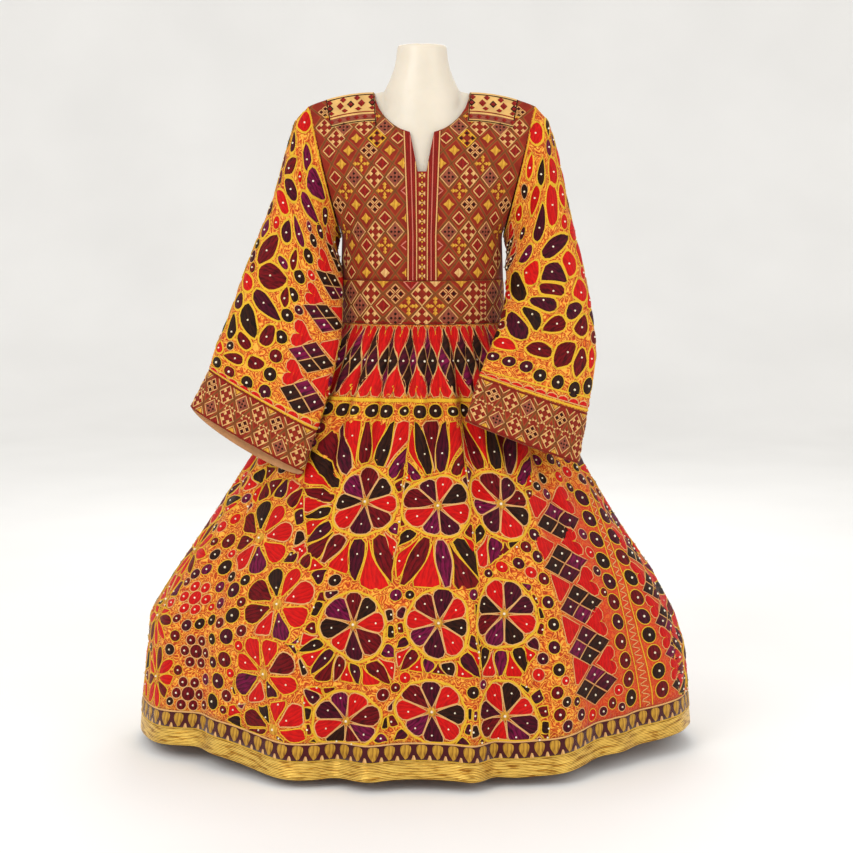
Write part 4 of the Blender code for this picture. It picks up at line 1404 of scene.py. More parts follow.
    def burst(self, flower: Flower, scale: float) -> None:
        """Nine red rays round a small disc."""
        self.clear(flower, scale * 1.6)
        first = int(self.random.integers(11))
        for index in range(9):
            axis = np.exp(1j * math.radians(40 * index + flower.turn))
            shape = self.squeeze(resample((teardrop(scale * 1.2, scale * 0.5) + scale * 0.22) * axis, 24))
            thread = (Thread.RED, Thread.RED, Thread.MAROON)[(first + index) % 3]
            self.petal(flower, shape, axis, thread, Thread.YELLOW_LINE, 2.4 * MM)
        self.middle(flower, scale * 0.16)

    def disc(self, flower: Flower, scale: float) -> None:
        """A dark disc in a yellow ring, with a bead in its middle."""
        self.clear(flower, scale)
        shape = self.squeeze(circle(scale * 0.92))
        thread = (Thread.OLIVE, Thread.PLUM, Thread.MAROON)[int(self.random.integers(3))]
        self.work.pad(thread, flower.spot, shape)
        self.work.line(Thread.YELLOW_LINE, flower.spot, shape, 2.2 * MM)
        self.work.bead(flower.spot, 0j, 2.2 * MM)

    def fill_gaps(self, u: np.ndarray, v: np.ndarray) -> None:
        """Small discs in the room that is left, the widest first.

        Args:
            u: Where to look, one for each place.
            v: The same, along the cloth.
        """
        taken = np.concatenate(self.work.taken)
        tree = KDTree(len(taken))
        for index, point in enumerate(taken):
            tree.insert(point, index)
        tree.balance()
        places = self.work.cloth.at(u, v, self.work.base)
        room = np.array([tree.find(place)[2] for place in places])
        room = np.minimum(room, (v - self.work.lowest(u)) * 0.9)
        room = np.minimum(room, (self.work.highest(u) - v) * 0.9)
        count = 0
        while room.max() > self.smallest and count < self.most:
            best = int(room.argmax())
            size = min(room[best], self.largest) - 1.2 * MM
            spot = (float(u[best]), float(v[best]))
            edge = (Thread.YELLOW_LINE, Thread.CREAM_LINE)[count % 2]
            self.work.pad(self.petals[count % 11], spot, circle(size * 0.9), 0.8 * MM)
            self.work.line(edge, spot, circle(size * 0.9), 1.6 * MM, height=0.6 * MM)
            self.work.bead(spot, 0j, 1.7 * MM)
            room = np.minimum(room, np.linalg.norm(places - places[best], axis=1) - size - 1.2 * MM)
            count += 1
        log.info("%s: %d shapes between the flowers", self.work.part, count)


# The garment


def skirt_height(degrees: np.ndarray, v: np.ndarray) -> np.ndarray:
    """Height over the floor: v counts from a level hem, and low rows follow the real one."""
    follows, fades = 0.36, 0.24
    return v + (SKIRT.hem_height(degrees) - LEVEL_HEM) * smooth((follows - v) / fades)


@dataclass
class Skirt:
    """The gathered skirt: four panels, a maroon border and a gold ribbon, all read from one cloth."""

    base: float = LEVEL_HEM
    step: float = 0.5
    rows: int = 64
    top: float = 0.8182
    seams: float = 1.02
    cloth: ClothMap = field(init=False)
    panels: tuple[tuple[str, float, float], ...] = (
        ("skirt_front", -38.0, 38.0), ("skirt_side_right", 38.0, 142.0), ("skirt_back", 142.0, 218.0),
        ("skirt_side_left", -142.0, -38.0),
    )

    def __post_init__(self) -> None:
        """Maps the whole skirt once."""
        degrees = np.linspace(-180, 180, 1441)
        v = np.concatenate([np.linspace(self.base, 0.74, 130), np.linspace(0.745, self.top, 30)])
        across, along = np.meshgrid(degrees, v)
        self.cloth = ClothMap(SKIRT.point(across, skirt_height(across, along)), v, degrees, tube=True)

    def flat(self, u: np.ndarray, v: np.ndarray) -> np.ndarray:
        """Where a point lies on the flat cloth, in metres: a ring sector, as a flared skirt is cut."""
        waist, lengthening, fan = 0.457, 1.05, 1.22  # the sector's inner radius, its folds' share and half its angle
        radius = waist + lengthening * (0.82 - v)
        angle = u / 180 * fan
        return np.stack([radius * np.sin(angle), -radius * np.cos(angle)], axis=-1)

    def zone(self, u: np.ndarray, v: np.ndarray) -> np.ndarray:
        """How red the ground is: only in the strip of diamonds on the right."""
        right = smooth((u - 40) / 5) * smooth((94 - u) / 8) * smooth((0.56 - v) / 0.1) * 0.8
        return np.stack([right, 0 * u], axis=-1)

    def grid(
        self, start: float, end: float, low: float, high: float, rows: int, step: float
    ) -> tuple[np.ndarray, np.ndarray, np.ndarray]:
        """The points of part of the skirt and where they lie on the flat cloth."""
        degrees = np.linspace(start, end, round((end - start) / step) + 1)
        v = low + (high - low) * np.linspace(0, 1, rows) ** 0.85
        across, along = np.meshgrid(degrees, v)
        points = SKIRT.point(across, skirt_height(across, along))
        u = self.cloth.locate(wrapped(across), along)
        if end > 180:
            u = np.where(across > 180, u + 360, u)
        return points, u, along

    def build_cloth(self) -> None:
        """The four panels and the two rings round the hem."""
        border = self.base + BORDER_TOP
        for name, start, end in self.panels:
            points, u, v = self.grid(start, end, border + SEAM, self.top, self.rows, self.step)
            layers = {"cloth": self.flat(u, v), "zone": self.zone(u, v)}
            piece = cloth_piece(name + "_cloth", points, layers, FLOWER_CLOTH, "flower_cloth", lining=LINING)
            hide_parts(name)
            declare(points, edge_length(points), self.seams)
        for name, low, high, finish, slot, rows in (
            ("hem_border", RIBBON_TOP + SEAM, BORDER_TOP, BORDER_CLOTH, "maroon_border", 5),
            ("hem_ribbon", 0.0, RIBBON_TOP, RIBBON_GOLD, "gold_ribbon", 7),
        ):
            points, u, v = self.grid(-180, 180, self.base + low, self.base + high, rows, 0.4)
            flat = np.stack([u * self.cloth.span[0], v - self.base], axis=-1)
            piece = cloth_piece(name + "_cloth", points, {"cloth": flat}, finish, slot, closed=True, lining=LINING)
            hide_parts(name)
            declare(points, edge_length(points), self.seams)


def edge_length(points: np.ndarray) -> float:
    """The length of a grid's lowest row."""
    return float(np.linalg.norm(np.diff(points[0], axis=0), axis=-1).sum())


def declare(points: np.ndarray, width: float, seams: float = 1.05) -> None:
    """Works out the area of a cloth's grid."""
    across, along = np.diff(points, axis=1)[:-1], np.diff(points, axis=0)[:, :-1]
    area = float(np.linalg.norm(np.cross(across, along), axis=-1).sum())


class BodicePanel:
    """The front or the back of the bodice and its waistband, mapped by height."""

    def __init__(self, facing: int):
        """Maps the cloth from the waist seam to the neck."""
        self.facing = facing
        self.side = "front" if facing < 0 else "back"
        shares = np.sin(np.linspace(-1, 1, 241) * math.pi / 2)
        v = np.linspace(WAIST_SEAM, 1.262, 180)
        across, along = np.meshgrid(shares, v)
        self.cloth = ClothMap(BODY.point(-facing * across, along, facing), v, shares)
        self.climb = self.cloth.climb - np.interp(BAND_TOP, v, self.cloth.climb)
        tops = BODY.front_top(shares) if facing < 0 else BODY.back_top(shares)
        reach = np.array([self.cloth.locate(share, top) for share, top in zip(shares, tops)])
        self.tops = (reach, tops)

    def top(self, u: np.ndarray) -> np.ndarray:
        """The highest v at each u."""
        return np.interp(u, *self.tops)

    def under(self, gap: float) -> Edge:
        """An edge that lies a little lower than the top one."""
        return lambda u: self.top(u) - gap

    def flat(self, u: np.ndarray, v: np.ndarray) -> np.ndarray:
        """Where points lie on the flat cloth, in metres."""
        return np.stack([u, np.interp(v, self.cloth.v, self.climb)], axis=-1)

    def row_at(self, row: int) -> float:
        """The v of a row of the chart."""
        return float(np.interp(CHART.foot + (row + CHART.rows_below) * CHART.tall, self.climb, self.cloth.v))

    def chart(self, u: np.ndarray, v: np.ndarray) -> np.ndarray:
        """Lattice places: whole numbers whose sum is even are the middles of cells."""
        rows = np.interp(v, self.cloth.v, self.climb)
        down = (rows - CHART.foot) / CHART.tall - CHART.rows_below
        lean = CHART.lean * np.maximum(0.0, down)
        bodice = np.stack([np.abs(u) / CHART.wide - 0.5 - lean, down], axis=-1)
        band = np.stack([u / CHART.band_wide, (v - CHART.band_middle) / CHART.band_tall], axis=-1)
        return np.where((v < BAND_TOP)[..., None], band, bodice)

    def grid(
        self, shares: np.ndarray, low: np.ndarray | float, tops: np.ndarray, rows: int, lift: float | None = None
    ) -> tuple[np.ndarray, np.ndarray, np.ndarray]:
        """Points between a lower and a top edge, with their u and v. A lift is counted from the cloth's inner face."""
        rise = 1 - (1 - np.linspace(0, 1, rows)) ** 1.5
        across = np.broadcast_to(shares, (rows, len(shares)))
        v = low + rise[:, None] * (tops - low)
        u = self.cloth.locate(across, v)
        if lift is None:
            return BODY.point(-self.facing * across, v, self.facing), u, v
        return self.cloth.at(u, v, lift), u, v

    def build(self) -> None:
        """The bodice cloth and the waistband cloth."""
        edges = [*np.linspace(BODY.slit_foot, BODY.slit_head, 9), BODY.neck_point, BODY.neck_point - 0.004]
        half = np.unique(np.concatenate([np.sin(np.linspace(0, 1, 49) * math.pi / 2), edges]))
        shares = np.concatenate([-half[::-1][:-1], half])
        tops = BODY.front_top(shares) if self.facing < 0 else BODY.back_top(shares)
        for name, low, high, rows in (
            ("bodice", BAND_TOP + SEAM / 2, tops, 44),
            ("waist_band", WAIST_SEAM + 2 * SEAM, np.full_like(tops, BAND_TOP - SEAM / 2), 12),
        ):
            points, u, v = self.grid(shares, low, high, rows)
            layers, name = {"cloth": self.flat(u, v), "chart": self.chart(u, v)}, f"{name}_{self.side}"
            piece = cloth_piece(name + "_cloth", points, layers, LATTICE_CLOTH, "lattice_cloth", lining=LINING)
            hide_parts(name)
            declare(points, float(u.max() - u.min()))


class Motif(Enum):
    """The cross-stitched motifs that fill the lattice."""

    CROSSED_CREAM = "A"
    GOLD_CROSS = "B"
    FOUR_DIAMONDS = "C"
    HOLLOW = "D"
    STAR = "E"
    DOTTED = "F"
    CROSSED_GOLD = "G"
    SOLID = "H"


@dataclass(frozen=True)
class Chart:
    """Sizes of the lattice, and which motif fills each cell: rows from the shoulder down."""

    wide: float = 0.0196
    tall: float = 0.0250
    foot: float = 0.0145
    rows_below: int = 7
    lean: float = 0.25
    band_wide: float = 0.0244
    band_tall: float = 0.0225
    band_middle: float = 0.876
    # row, then the motifs of its cells outwards from the centre, every second column
    bodice: tuple[tuple[int, str], ...] = (
        (5, "EBDB"), (4, "FAFA"), (3, "DGEA"), (2, "ECED"), (1, "EDBE"), (0, "FAFD"), (-1, "DBDB"), (-2, "ECEC"),
        (-3, "EDED"), (-4, "FAFB"), (-5, "DBDE"), (-6, "DAEA"), (-7, "EHED"),
    )
    band: tuple[tuple[int, str], ...] = ((1, "HEHEHEH"), (0, "ACAFACAF"), (-1, "BDFDBD"), (-2, "AFAFAFA"))
    # the cuff's lower row, then its upper one
    cuff: tuple[str, ...] = ("AFAC", "CAFA")
    cuff_count: int = 14
    cuff_row: float = 0.27
    cuff_tall: float = 0.46


CHART = Chart()


class LatticeWork:
    """The motifs that fill the lattice on one cloth."""

    def __init__(self, work: Embroidery, scale: float = 1.0):
        """Keeps the stitches that it adds to."""
        self.work, self.scale = work, scale

    def cross(self, spot: Spot, reach: float) -> None:
        """Four gold arms, each ending in a small diamond."""
        kite = np.array([0.08, 0.45 - 0.22j, 0.66, 0.45 + 0.22j]) * reach
        for axis in (1, 1j, -1, -1j):
            self.work.pad(Thread.GOLD, spot, resample(kite * axis), 0.7 * MM)
            self.work.pad(Thread.GOLD, spot, diamond(reach * 0.27) + axis * reach * 0.76, 0.7 * MM)

    def stitch(self, motif: Motif, spot: Spot) -> None:
        """One motif at a spot."""
        size = self.scale * MM
        pad, line = self.work.pad, self.work.line
        if motif in (Motif.CROSSED_CREAM, Motif.CROSSED_GOLD):
            crossed = {
                Motif.CROSSED_CREAM: (Thread.CREAM_LINE, Thread.CREAM, Thread.BRICK),
                Motif.CROSSED_GOLD: (Thread.YELLOW_LINE, Thread.GOLD, Thread.OLIVE),
            }
            edge, corner, side = crossed[motif]
            line(edge, spot, diamond(17.2 * size, 19.4 * size), 2.2 * MM)
            for quarter in range(4):
                pad(corner, spot, diamond(4.6 * size) + 6.6 * size * (1 + 1j) * 1j**quarter, 0.8 * MM)
                pad(side, spot, diamond(3.4 * size) + 11 * size * 1j**quarter, 0.8 * MM)
        elif motif is Motif.GOLD_CROSS:
            self.cross(spot, 15.5 * size)
        elif motif is Motif.FOUR_DIAMONDS:
            for quarter in range(4):
                centre = 9 * size * 1j**quarter
                line(Thread.CREAM_LINE, spot, diamond(6.8 * size) + centre)
                pad(Thread.OLIVE, spot, diamond(3.6 * size) + centre, 0.6 * MM)
        elif motif is Motif.HOLLOW:
            line(Thread.CREAM_LINE, spot, diamond(12 * size), 2.4 * MM)
            pad(Thread.BRICK, spot, diamond(9.5 * size), 0.6 * MM)
        elif motif is Motif.STAR:
            star = polar(*((radius, 45 * point) for point, radius in enumerate((10.5, 6.2) * 4)))
            pad(Thread.GOLD, spot, resample(star * size), 0.8 * MM)
        elif motif is Motif.DOTTED:
            pad(Thread.SALMON, spot, diamond(16 * size, 18 * size), 0.8 * MM)
            line(Thread.CREAM_LINE, spot, diamond(16.6 * size, 18.6 * size))
            for centre in (0, 7, 7j, -7, -7j):
                self.work.dot(Thread.OLIVE, spot, centre * size, 2.5 * size)
        else:
            pad(Thread.CREAM, spot, diamond(9 * size), 0.8 * MM)

    def fill(
        self, rows: Iterable[tuple[int, str]], place: Callable[[int, int, int], Spot | None], mirrored: bool
    ) -> None:
        """Fills the cells of a chart.

        Args:
            rows: Row numbers with a letter for every second cell.
            place: The u and v of a cell, or None where it is off the cloth.
            mirrored: Whether both halves count their cells from 1 beside the centre.
        """
        for row, letters in rows:
            for index, letter in enumerate(letters):
                cell = 2 * index + (2 - row % 2 if mirrored else row % 2)
                for hand in (-1, 1):
                    if cell == 0 and hand > 0:
                        continue
                    spot = place(cell, row, hand)
                    if spot is not None:
                        self.stitch(Motif(letter), spot)


class BodiceWork:
    """Embroidery on one side of the bodice and waistband."""

    strip_at = 0.120
    margin = 6 * MM  # motifs keep this far from the side seams
    beside_placket = 0.0285
    placket_half, band_inner, band_low = 0.031, 0.085, 1.205  # what the trims cover: u, u and height
    neck_inset, neck_drop = 0.027, 0.022  # the lone motif beyond each shoulder band

    def __init__(self, panel: BodicePanel):
        """Starts with the bare panel."""
        self.panel = panel
        slot = "lattice_cloth"
        self.bodice = Embroidery(f"bodice_{panel.side}", panel.cloth, slot, level(BAND_TOP + MM), panel.under(2 * MM))
        low, high = level(WAIST_SEAM + 1.5 * MM), level(BAND_TOP - MM)
        self.band = Embroidery(f"waist_band_{panel.side}", panel.cloth, slot, low, high)

    def inside(self, u: float, v: float) -> bool:
        """Whether a spot lies between the side seams."""
        return abs(u) < float(np.interp(v, self.panel.cloth.v, self.panel.cloth.reach_high)) - self.margin

    def place(self, cell: int, row: int, hand: int) -> Spot | None:
        """The middle of a bodice cell."""
        u, v = hand * (cell + 0.5 + CHART.lean * max(0, row)) * CHART.wide, self.panel.row_at(row)
        inside = self.inside(u, v) and v < self.panel.top(np.array(u)) - 8 * MM
        covered = self.panel.facing < 0 and self.under_trim(abs(u), v)
        return (u, v) if inside and not covered else None

    def under_trim(self, u: float, v: float) -> bool:
        """Whether the placket or a shoulder band lies over the spot."""
        return u < self.placket_half or (v > self.band_low and u > self.band_inner)

    def place_band(self, cell: int, row: int, hand: int) -> Spot | None:
        """The middle of a waistband cell."""
        u, v = hand * cell * CHART.band_wide, CHART.band_middle + row * CHART.band_tall
        strip = self.panel.facing < 0 and abs(u - self.strip_at) < 17 * MM
        return (u, v) if self.inside(u, v) and not strip else None

    def front_details(self) -> None:
        """Half motifs beside the placket, the tab under it, and an upright strip of bow ties."""
        for row in (4, 1, -1, -3, -5, -7):
            for hand in (-1, 1):
                spot = (hand * self.beside_placket, self.panel.row_at(row))
                if row in (4, -1, -5):
                    chevron = np.array([8j, 4.7 + 4j, 9.5, 4.7 - 4j, -8j])
                    chevron = (hand * chevron.real + 1j * chevron.imag) * MM
                    self.bodice.line(Thread.PINK_LINE, spot, chevron, 2.4 * MM, closed=False)
                else:
                    star = np.array([9j, 3 + 3j, 9, 3 - 3j, -9j])
                    self.bodice.pad(Thread.GOLD, spot, resample((hand * star.real + 1j * star.imag) * MM), 0.8 * MM)
        tab = (-0.0199, BAND_TOP - 1.5 * MM)
        self.band.pad(Thread.BRICK, tab, resample(np.array([12, -12, -14j]) * MM), 0.4 * MM, lift=0.9 * MM)
        edge = np.array([13, 6.5 - 7.5j, -15j, -6.5 - 7.5j, -13]) * MM
        self.band.line(Thread.PINK_LINE, tab, edge, 2.4 * MM, closed=False, lift=MM)
        middle = (self.strip_at, (WAIST_SEAM + BAND_TOP) / 2)
        upright = np.array([10.5 + 39j, 10.5 - 39j, -10.5 - 39j, -10.5 + 39j]) * MM
        self.band.pad(Thread.BRICK, middle, resample(upright), 0.2 * MM)
        for step in range(-3, 4):
            for hand in (-1, 1):
                bow = np.array([0, 6.6 - 4j, 6.6 + 4j]) * MM * hand + 10.5j * MM * step
                self.band.pad(Thread.CREAM, middle, resample(bow), 0.6 * MM, lift=0.8 * MM)

    def work(self) -> None:
        """Fills both lattices."""
        if self.panel.facing < 0:
            self.front_details()
            for hand in (-1, 1):
                share = hand * (BODY.shoulder_band_end + self.neck_inset)
                v = float(BODY.front_top(np.array(share))) - self.neck_drop
                u = float(self.panel.cloth.locate(np.array(share), np.array(v)))
                LatticeWork(self.bodice, 0.9).stitch(Motif.FOUR_DIAMONDS, (u, v))
        else:
            for row in range(-7, 6):
                LatticeWork(self.bodice).stitch(Motif("ED"[row % 2]), (0.0, self.panel.row_at(row)))
        LatticeWork(self.bodice).fill(CHART.bodice, self.place, mirrored=True)
        LatticeWork(self.band, 1.12).fill(CHART.band, self.place_band, mirrored=False)
        for height, thread in ((BAND_TOP, Thread.GOLD), (WAIST_SEAM + 4 * MM, Thread.BRICK)):
            self.band.belt(thread, height, 2.6 * MM, reach=self.panel.cloth.reach_high[0], stations=160)
        self.bodice.sew()
        self.band.sew()


@dataclass
class Trim:
    """The placket and the shoulder bands, which lie on the front of the bodice."""

    panel: BodicePanel
    # share of the placket's half width, thread, width of the line
    stripes: tuple[tuple[float, Thread, float], ...] = (
        (0.36, Thread.CREAM_LINE, 1.8 * MM), (0.50, Thread.BRICK, 2.6 * MM), (0.62, Thread.PINK_LINE, 1.8 * MM),
        (0.78, Thread.BRICK, 2.6 * MM), (0.94, Thread.CREAM_LINE, 2.2 * MM),
    )

    def build(self) -> None:
        """All three, with their stitches."""
        self.placket()
        self.shoulder_band("left", -1)
        self.shoulder_band("right", 1)

    def patch(self, name: str, shares: np.ndarray, low: np.ndarray | float, finish: Finish, slot: str) -> None:
        """A piece that lies on the front."""
        points, u, v = self.panel.grid(shares, low, BODY.front_top(shares), 40, lift=WALL + SEAM)
        piece = cloth_piece(name + "_cloth", points, {"cloth": self.panel.flat(u, v)}, finish, slot, wall=TRIM)
        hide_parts(name)
        declare(points, float(u.max() - u.min()))

    def placket(self) -> None:
        """The placket with its stripes and the strip of hourglass motifs down the centre."""
        edge, slit = BODY.placket_edge, (BODY.slit_foot, BODY.slit_head)
        runs = (np.linspace(0, slit[0], 5), np.linspace(*slit, 9), np.linspace(slit[1], edge, 7))
        half = np.unique(np.concatenate(runs))
        shares = np.concatenate([-half[::-1][:-1], half])
        self.patch("placket", shares, BAND_TOP + SEAM / 2, PLACKET_CLOTH, "placket_cloth")
        cloth = self.panel.cloth
        low, high = level(BAND_TOP + MM), self.panel.under(1.5 * MM)
        work = Embroidery("placket", cloth, "placket_cloth", low, high, ON_TRIM)
        for part, thread, width in self.stripes:
            for hand in (-1, 1):
                share = hand * part * edge
                v = np.linspace(BAND_TOP + MM, float(BODY.front_top(np.array(share))) - 2 * MM, 70)
                work.trail(thread, cloth.locate(np.full_like(v, share), v), v, width)
        for v in np.arange(BAND_TOP + 9 * MM, BODY.slit_foot_height - 4 * MM, 16.5 * MM):
            for hand in (-1, 1):
                bow = np.array([0, 5.6 - 4.2j, 5.6 + 4.2j]) * MM * hand
                work.pad(Thread.CREAM, (0.0, v), resample(bow), 0.8 * MM)
                tip = np.array([-2.4, 0, 2.4, 4.6j * hand]) * MM + 2.6j * MM * hand
                work.pad(Thread.GOLD, (0.0, v), resample(tip), 0.8 * MM)
        work.sew()

    def shoulder_band(self, side: str, hand: int) -> None:
        """A pale band over the shoulder with a row of diamonds and a dark border."""
        start, end = BODY.neck_point, BODY.shoulder_band_end
        shares = np.linspace(start, end, 34) * hand
        shares = shares if hand > 0 else shares[::-1]
        tops = BODY.front_top(shares)
        rise = 1 - (1 - 0.7) ** 1.5
        lows = BAND_TOP + SEAM / 2 + rise * (tops - BAND_TOP)
        self.patch(f"shoulder_band_{side}", shares, lows, PALE_CLOTH, "pale_band")
        cloth = self.panel.cloth
        work = Embroidery(f"shoulder_band_{side}", cloth, "pale_band", level(0.0), self.panel.under(MM), ON_TRIM)
        for share, thread in ((0.0, Thread.OLIVE), (0.33, Thread.BRICK), (0.94, Thread.OLIVE)):
            v = lows + 1.5 * MM + (tops - lows - 3 * MM) * share
            work.trail(thread, cloth.locate(shares, v), v, 2.4 * MM)
        salmon = lows + (tops - lows) * 0.17
        work.trail(Thread.SALMON, cloth.locate(shares, salmon), salmon, 12.5 * MM, 0.2 * MM)
        for share in np.linspace(start + 0.027, end - 0.027, 4) * hand:
            for part, tall in ((0.46, 5.2), (0.83, 7.5)):
                work.pad(Thread.BRICK, self.spot(share, rise, part), diamond(6.2 * MM, tall * MM), 0.6 * MM)
        for index, share in enumerate(np.linspace(start + 0.022, end - 0.022, 5) * hand):
            thread = (Thread.OLIVE, Thread.BRICK)[index % 2]
            work.pad(thread, self.spot(share, rise, 0.64), diamond(7.2 * MM, 9.5 * MM), 0.6 * MM)
            work.dot(Thread.BRICK, self.spot(share, rise, 0.63), 0j, 4 * MM)
        for share in np.linspace(start + 0.022, end - 0.016, 6) * hand:
            work.pad(Thread.BRICK, self.spot(share, rise, 0.17), diamond(5.2 * MM), 0.6 * MM, lift=0.5 * MM)
        for share in (start + 0.006, end - 0.004):
            v = np.linspace(lows[0] + 1.5 * MM, float(BODY.front_top(np.array(share))) - 1.5 * MM, 30)
            work.trail(Thread.OLIVE, cloth.locate(np.full_like(v, share * hand), v), v, 2.0 * MM)
        work.sew()

    def spot(self, share: float, rise: float, part: float) -> Spot:
        """A place on a shoulder band: its share across the body, and the part of the way up the band."""
        top = float(BODY.front_top(np.array(share)))
        v = BAND_TOP + (top - BAND_TOP) * (rise + (1 - rise) * part)
        return float(self.panel.cloth.locate(np.array(share), np.array(v))), v


class Sleeve:
    """A bell sleeve with its cuff, each mapped once round."""

    def __init__(self, name: str, shape: SleeveShape):
        """Maps both cloths: u is 0 along the middle of the front."""
        self.name, self.shape = name, shape
        self.rows = len(shape.sections)
        turns = np.linspace(-180, 180, 241)
        v = np.linspace(0, self.rows, 121)
        across, along = np.meshgrid(turns, v)
        self.cloth = ClothMap(self.sleeve_points(across, along), v, turns, tube=True)
        v = np.linspace(0, 1, 17)
        across, along = np.meshgrid(turns, v)
        self.cuff = ClothMap(self.cuff_points(across, along), v, turns, tube=True)

    def radians(self, degrees: np.ndarray) -> np.ndarray:
        """The shape's own turn for degrees counted from the front."""
        return math.pi / 2 - self.shape.hand * np.radians(degrees)

    def sleeve_points(self, degrees: np.ndarray, v: np.ndarray) -> np.ndarray:
        """Points of the sleeve: v is 0 at the cuff. Its inner edge hangs a little ahead of the body's side."""
        turn, fall = self.radians(degrees), self.rows - v
        ease = smooth((fall - 1.2) / 1.5) * smooth((6.8 - fall) / 2)
        hang = np.maximum(0.0, -np.cos(turn)) ** 2 * ease
        reach = 0.012 if self.shape.hand < 0 else 0.007
        ahead = np.array((-self.shape.hand * reach, -reach / 2, 0))
        return self.shape.point(turn, fall, BODY) + hang[..., None] * ahead

    def cuff_points(self, degrees: np.ndarray, v: np.ndarray) -> np.ndarray:
        """Points of the cuff: v is 0 at its lower edge."""
        return self.shape.cuff_point(self.radians(degrees), 1 - v)

    def build(self) -> None:
        """The sleeve cloth and the cuff cloth."""
        degrees = np.linspace(-180, 180, 145)
        for name, cloth, place, high, rows, finish, slot in (
            ("sleeve", self.cloth, self.sleeve_points, float(self.rows), 81, FLOWER_CLOTH, "flower_cloth"),
            ("cuff", self.cuff, self.cuff_points, 1.0, 13, LATTICE_CLOTH, "lattice_cloth"),
        ):
            across, along = np.meshgrid(degrees, np.linspace(0, high, rows))
            points = place(across, along)
            u = cloth.locate(across, along)
            width, rise = np.interp(along, cloth.v, cloth.span), np.interp(along, cloth.v, cloth.climb)
            cells = (u + 180) / 180 * CHART.cuff_count
            chart = np.stack([cells, (along - CHART.cuff_row) / CHART.cuff_tall], axis=-1)
            layers = {"cloth": np.stack([u * width, rise], axis=-1), "chart": chart}
            name = f"{name}_{self.name}"
            piece = cloth_piece(name + "_cloth", points, layers, finish, slot, closed=True, lining=LINING)
            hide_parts(name + "_front", name + "_back")
            declare(points, edge_length(points))


# Embroidery laid out


def quartered(
    work: Embroidery, spot: Spot, wide: float, tall: float, threads: Sequence[Thread], first: int, edge: float,
    beads: int,
) -> None:
    """A diamond of four filled parts.

    Args:
        work: The stitches it is added to.
        spot: Its middle.
        wide: Half of its width in metres.
        tall: Half of its height.
        threads: The four parts' threads.
        first: Which of them the left part has.
        edge: The size of each part's outline, as a share of the whole diamond.
        beads: 1 for a bead on each part and 2 for every second one.
    """
    for part, centre in enumerate((-wide / 2, 1j * tall / 2, wide / 2, -1j * tall / 2)):
        work.pad(threads[(first + part) % 4], spot, diamond(wide * 0.45, tall * 0.45) + centre, along=1 + 1j)
        work.line(Thread.CREAM_LINE, spot, diamond(wide * edge, tall * edge) + centre, 1.5 * MM)
        if part % beads == 0:
            work.bead(spot, centre)


def heart_row(work: Embroidery, middles: Sequence[Spot], wide: float, tall: float, sides: str = "both") -> None:
    """A row of diamonds of four dark parts each, with red hearts in the notches between them.

    Args:
        work: The stitches it is added to.
        middles: The middles of the diamonds, upwards along the row.
        wide: Half the width of a diamond in metres.
        tall: Half of its length along the row.
        sides: Which notches have hearts, left, right or both. The others have a plain red triangle.
    """
    threads = (Thread.OLIVE, Thread.MAGENTA, Thread.PLUM, Thread.OLIVE)
    outer = wide * 0.97
    for index, spot in enumerate(middles):
        quartered(work, spot, wide, tall, threads, index, edge=0.49, beads=1)
        for hand in (-1, 1):
            if sides == "both" or (hand > 0) == (sides == "right"):
                form = heart() * -1j * hand
                shape = form.real * wide * 0.92 + 1j * form.imag * tall * 1.42 + complex(hand * wide * 0.57, tall)
                notch(work, spot, resample(shape), complex(hand * wide * 0.86, tall), -hand)
            else:
                tips = (hand * wide * 0.1 + 1j * tall, hand * outer + 0.22j * tall, hand * outer + 1.78j * tall)
                shape = resample(rounded(resample(np.array(tips))))
                work.pad(Thread.RED, spot, shape)
                work.line(Thread.CREAM_LINE, spot, shape)


def notch(work: Embroidery, spot: Spot, shape: Outline, mouth: complex, way: complex) -> None:
    """A red heart with its outline, and a looped stem with a bead from its mouth inwards."""
    work.pad(Thread.RED, spot, shape)
    work.line(Thread.CREAM_LINE, spot, shape)
    stem = mouth + way * np.linspace(0, 1, 5) * 7 * MM
    loop = circle(2.6 * MM, 8) + mouth + way * 10 * MM
    work.line(Thread.YELLOW_LINE, spot, stem, 1.7 * MM, closed=False, height=0.6 * MM, lift=0.9 * MM)
    work.line(Thread.YELLOW_LINE, spot, loop, 1.7 * MM, height=0.6 * MM, lift=0.9 * MM)


